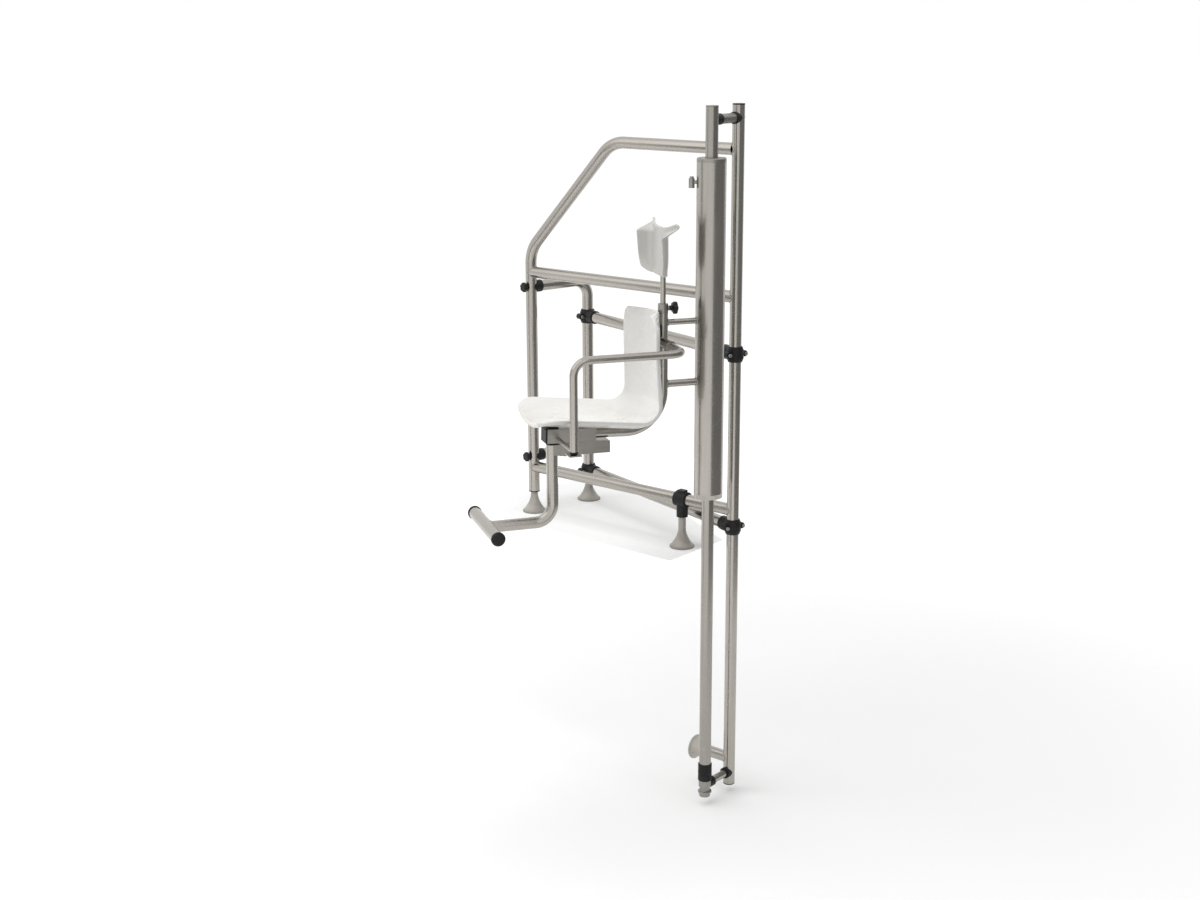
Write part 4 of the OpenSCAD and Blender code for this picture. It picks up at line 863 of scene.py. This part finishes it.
def stage_sheet(name, points, faces, finish):
    """A sheet of the studio from its points in metres."""
    mesh = bpy.data.meshes.new(name)
    mesh.from_pydata(points, [], faces)
    sheet = bpy.data.objects.new(name, mesh)
    bpy.context.scene.collection.objects.link(sheet)
    mesh.materials.append(finish)
    return sheet


def floor_sheet(name, outline, height, finish):
    """A level sheet with that outline, which turns left all the way so that the sheet faces up."""
    return stage_sheet(name, [(x, y, height) for x, y in outline], [tuple(range(len(outline)))], finish)


def dark_reflection_screen(name, radius, start, end, low, high, finish):
    """A standing screen, an arc round the lift between two bearings, that only the steel's gloss shows: its
    dim glow paints darker reflections on the tubes' sides.
    """
    bearing = np.radians(np.linspace(start, end, 25))
    x = radius * np.cos(bearing)
    y = radius * np.sin(bearing)
    points = np.concatenate([np.stack([x, y, 0.0 * x + height], axis=1) for height in (low, high)])
    screen = stage_sheet(name, points.tolist(), grid_faces(2, len(bearing)).tolist(), finish)
    screen.visible_camera = False
    screen.visible_diffuse = False
    screen.visible_transmission = False
    screen.visible_shadow = False


# The deck ends at the pool's wall, where the wall pad's flat face is. It throws no shadow on the floor
# below, as it stands for solid ground
WALL_X = PAD_X * MM
POOL_OUTLINE = [(-30.0, -30.0), (30.0, -30.0), (30.0, 60.0), (-30.0, 60.0)]
DECK_OUTLINE = [(-0.92, -0.16), (WALL_X, -0.16), (WALL_X, 0.16), (-0.5, 0.48), (-0.92, 0.48)]
pale_floor = stage_finish("pale_floor", 0.80, 0.20, 0.64)
floor_sheet("pool_floor", POOL_OUTLINE, POOL_FLOOR_Z * MM, pale_floor)
deck = floor_sheet("deck", DECK_OUTLINE, 0.0, pale_floor)
deck.visible_shadow = False

# Painted dark reflections: dim glowing screens that only the steel reflects, which give the tubes a darker
# side
painted_dark_reflection = stage_finish("painted_dark_reflection", 0.0, 0.27, 0.27)
dark_reflection_screen("right_screen", radius=2.6, start=-32.0, end=70.0, low=-0.9, high=2.6, finish=painted_dark_reflection)
dark_reflection_screen("left_screen", radius=2.4, start=-131.0, end=-118.0, low=-0.9, high=1.6, finish=painted_dark_reflection)

# The world is white to the eye and in reflections, and half as bright on matt surfaces
WORLD_LOSS = 0.50
world = bpy.data.worlds.new("studio")
bpy.context.scene.world = world
sky = Nodes(world)
brightness = 1.0 - WORLD_LOSS * sky.node("ShaderNodeLightPath", out="Is Diffuse Ray")
backdrop = sky.node("ShaderNodeBackground", None, {"Color": (1.0, 1.0, 1.0, 1.0), "Strength": brightness})
sky.add("ShaderNodeOutputWorld", None, {"Surface": backdrop})


def soft_lamp(name, place, target, width, power):
    """A wide square lamp at place, facing target."""
    light = bpy.data.lights.new(name, "AREA")
    light.shape = "SQUARE"
    light.size = width
    light.energy = power
    lamp = bpy.data.objects.new(name, light)
    towards = (Vector(target) - Vector(place)).to_track_quat("-Z", "Y").to_matrix().to_4x4()
    lamp.matrix_world = Matrix.Translation(place) @ towards
    bpy.context.scene.collection.objects.link(lamp)
    return lamp


# Most of the key's light stays out of reflections, so that the rails' highlights don't burn out
KEY_PLACE = (-1.7, -3.0, 4.0)
KEY_TARGET = (-0.1, 0.0, 0.5)
KEY_WIDTH = 4.4
soft_lamp("key", KEY_PLACE, KEY_TARGET, KEY_WIDTH, 32.0)
key_body = soft_lamp("key_body", KEY_PLACE, KEY_TARGET, KEY_WIDTH, 128.0)
key_body.visible_glossy = False
overhead = soft_lamp("overhead", (-0.2, -0.3, 4.5), (-0.2, -0.29, 0.7), 2.4, 82.0)
overhead.visible_glossy = False
soft_lamp("fill", (3.4, -1.2, 2.2), (0.0, 0.0, 0.4), 2.6, 7.0)

# The camera stands where the photograph was taken from, as worked out from the guard frame's corners
CAMERA_PLACE = (3.6723, -4.7831, 1.9144)
turn_left = math.radians(40.251)
look_down = math.radians(14.386)
tilt = math.radians(-0.265)
ahead = Vector((-math.sin(turn_left) * math.cos(look_down), math.cos(turn_left) * math.cos(look_down),
                -math.sin(look_down)))
level = Vector((math.cos(turn_left), math.sin(turn_left), 0.0))
above = level.cross(ahead)
right = level * math.cos(tilt) + above * math.sin(tilt)
top = above * math.cos(tilt) - level * math.sin(tilt)
lens = bpy.data.cameras.new("camera")
lens.lens = 51.397
lens.shift_x = -0.0028
lens.shift_y = -0.0003
camera = bpy.data.objects.new("camera", lens)
facing = Matrix((right, top, -ahead)).transposed().to_4x4()
camera.matrix_world = Matrix.Translation(CAMERA_PLACE) @ facing
bpy.context.scene.collection.objects.link(camera)
bpy.context.scene.camera = camera
bpy.context.scene.view_settings.view_transform = "Standard"
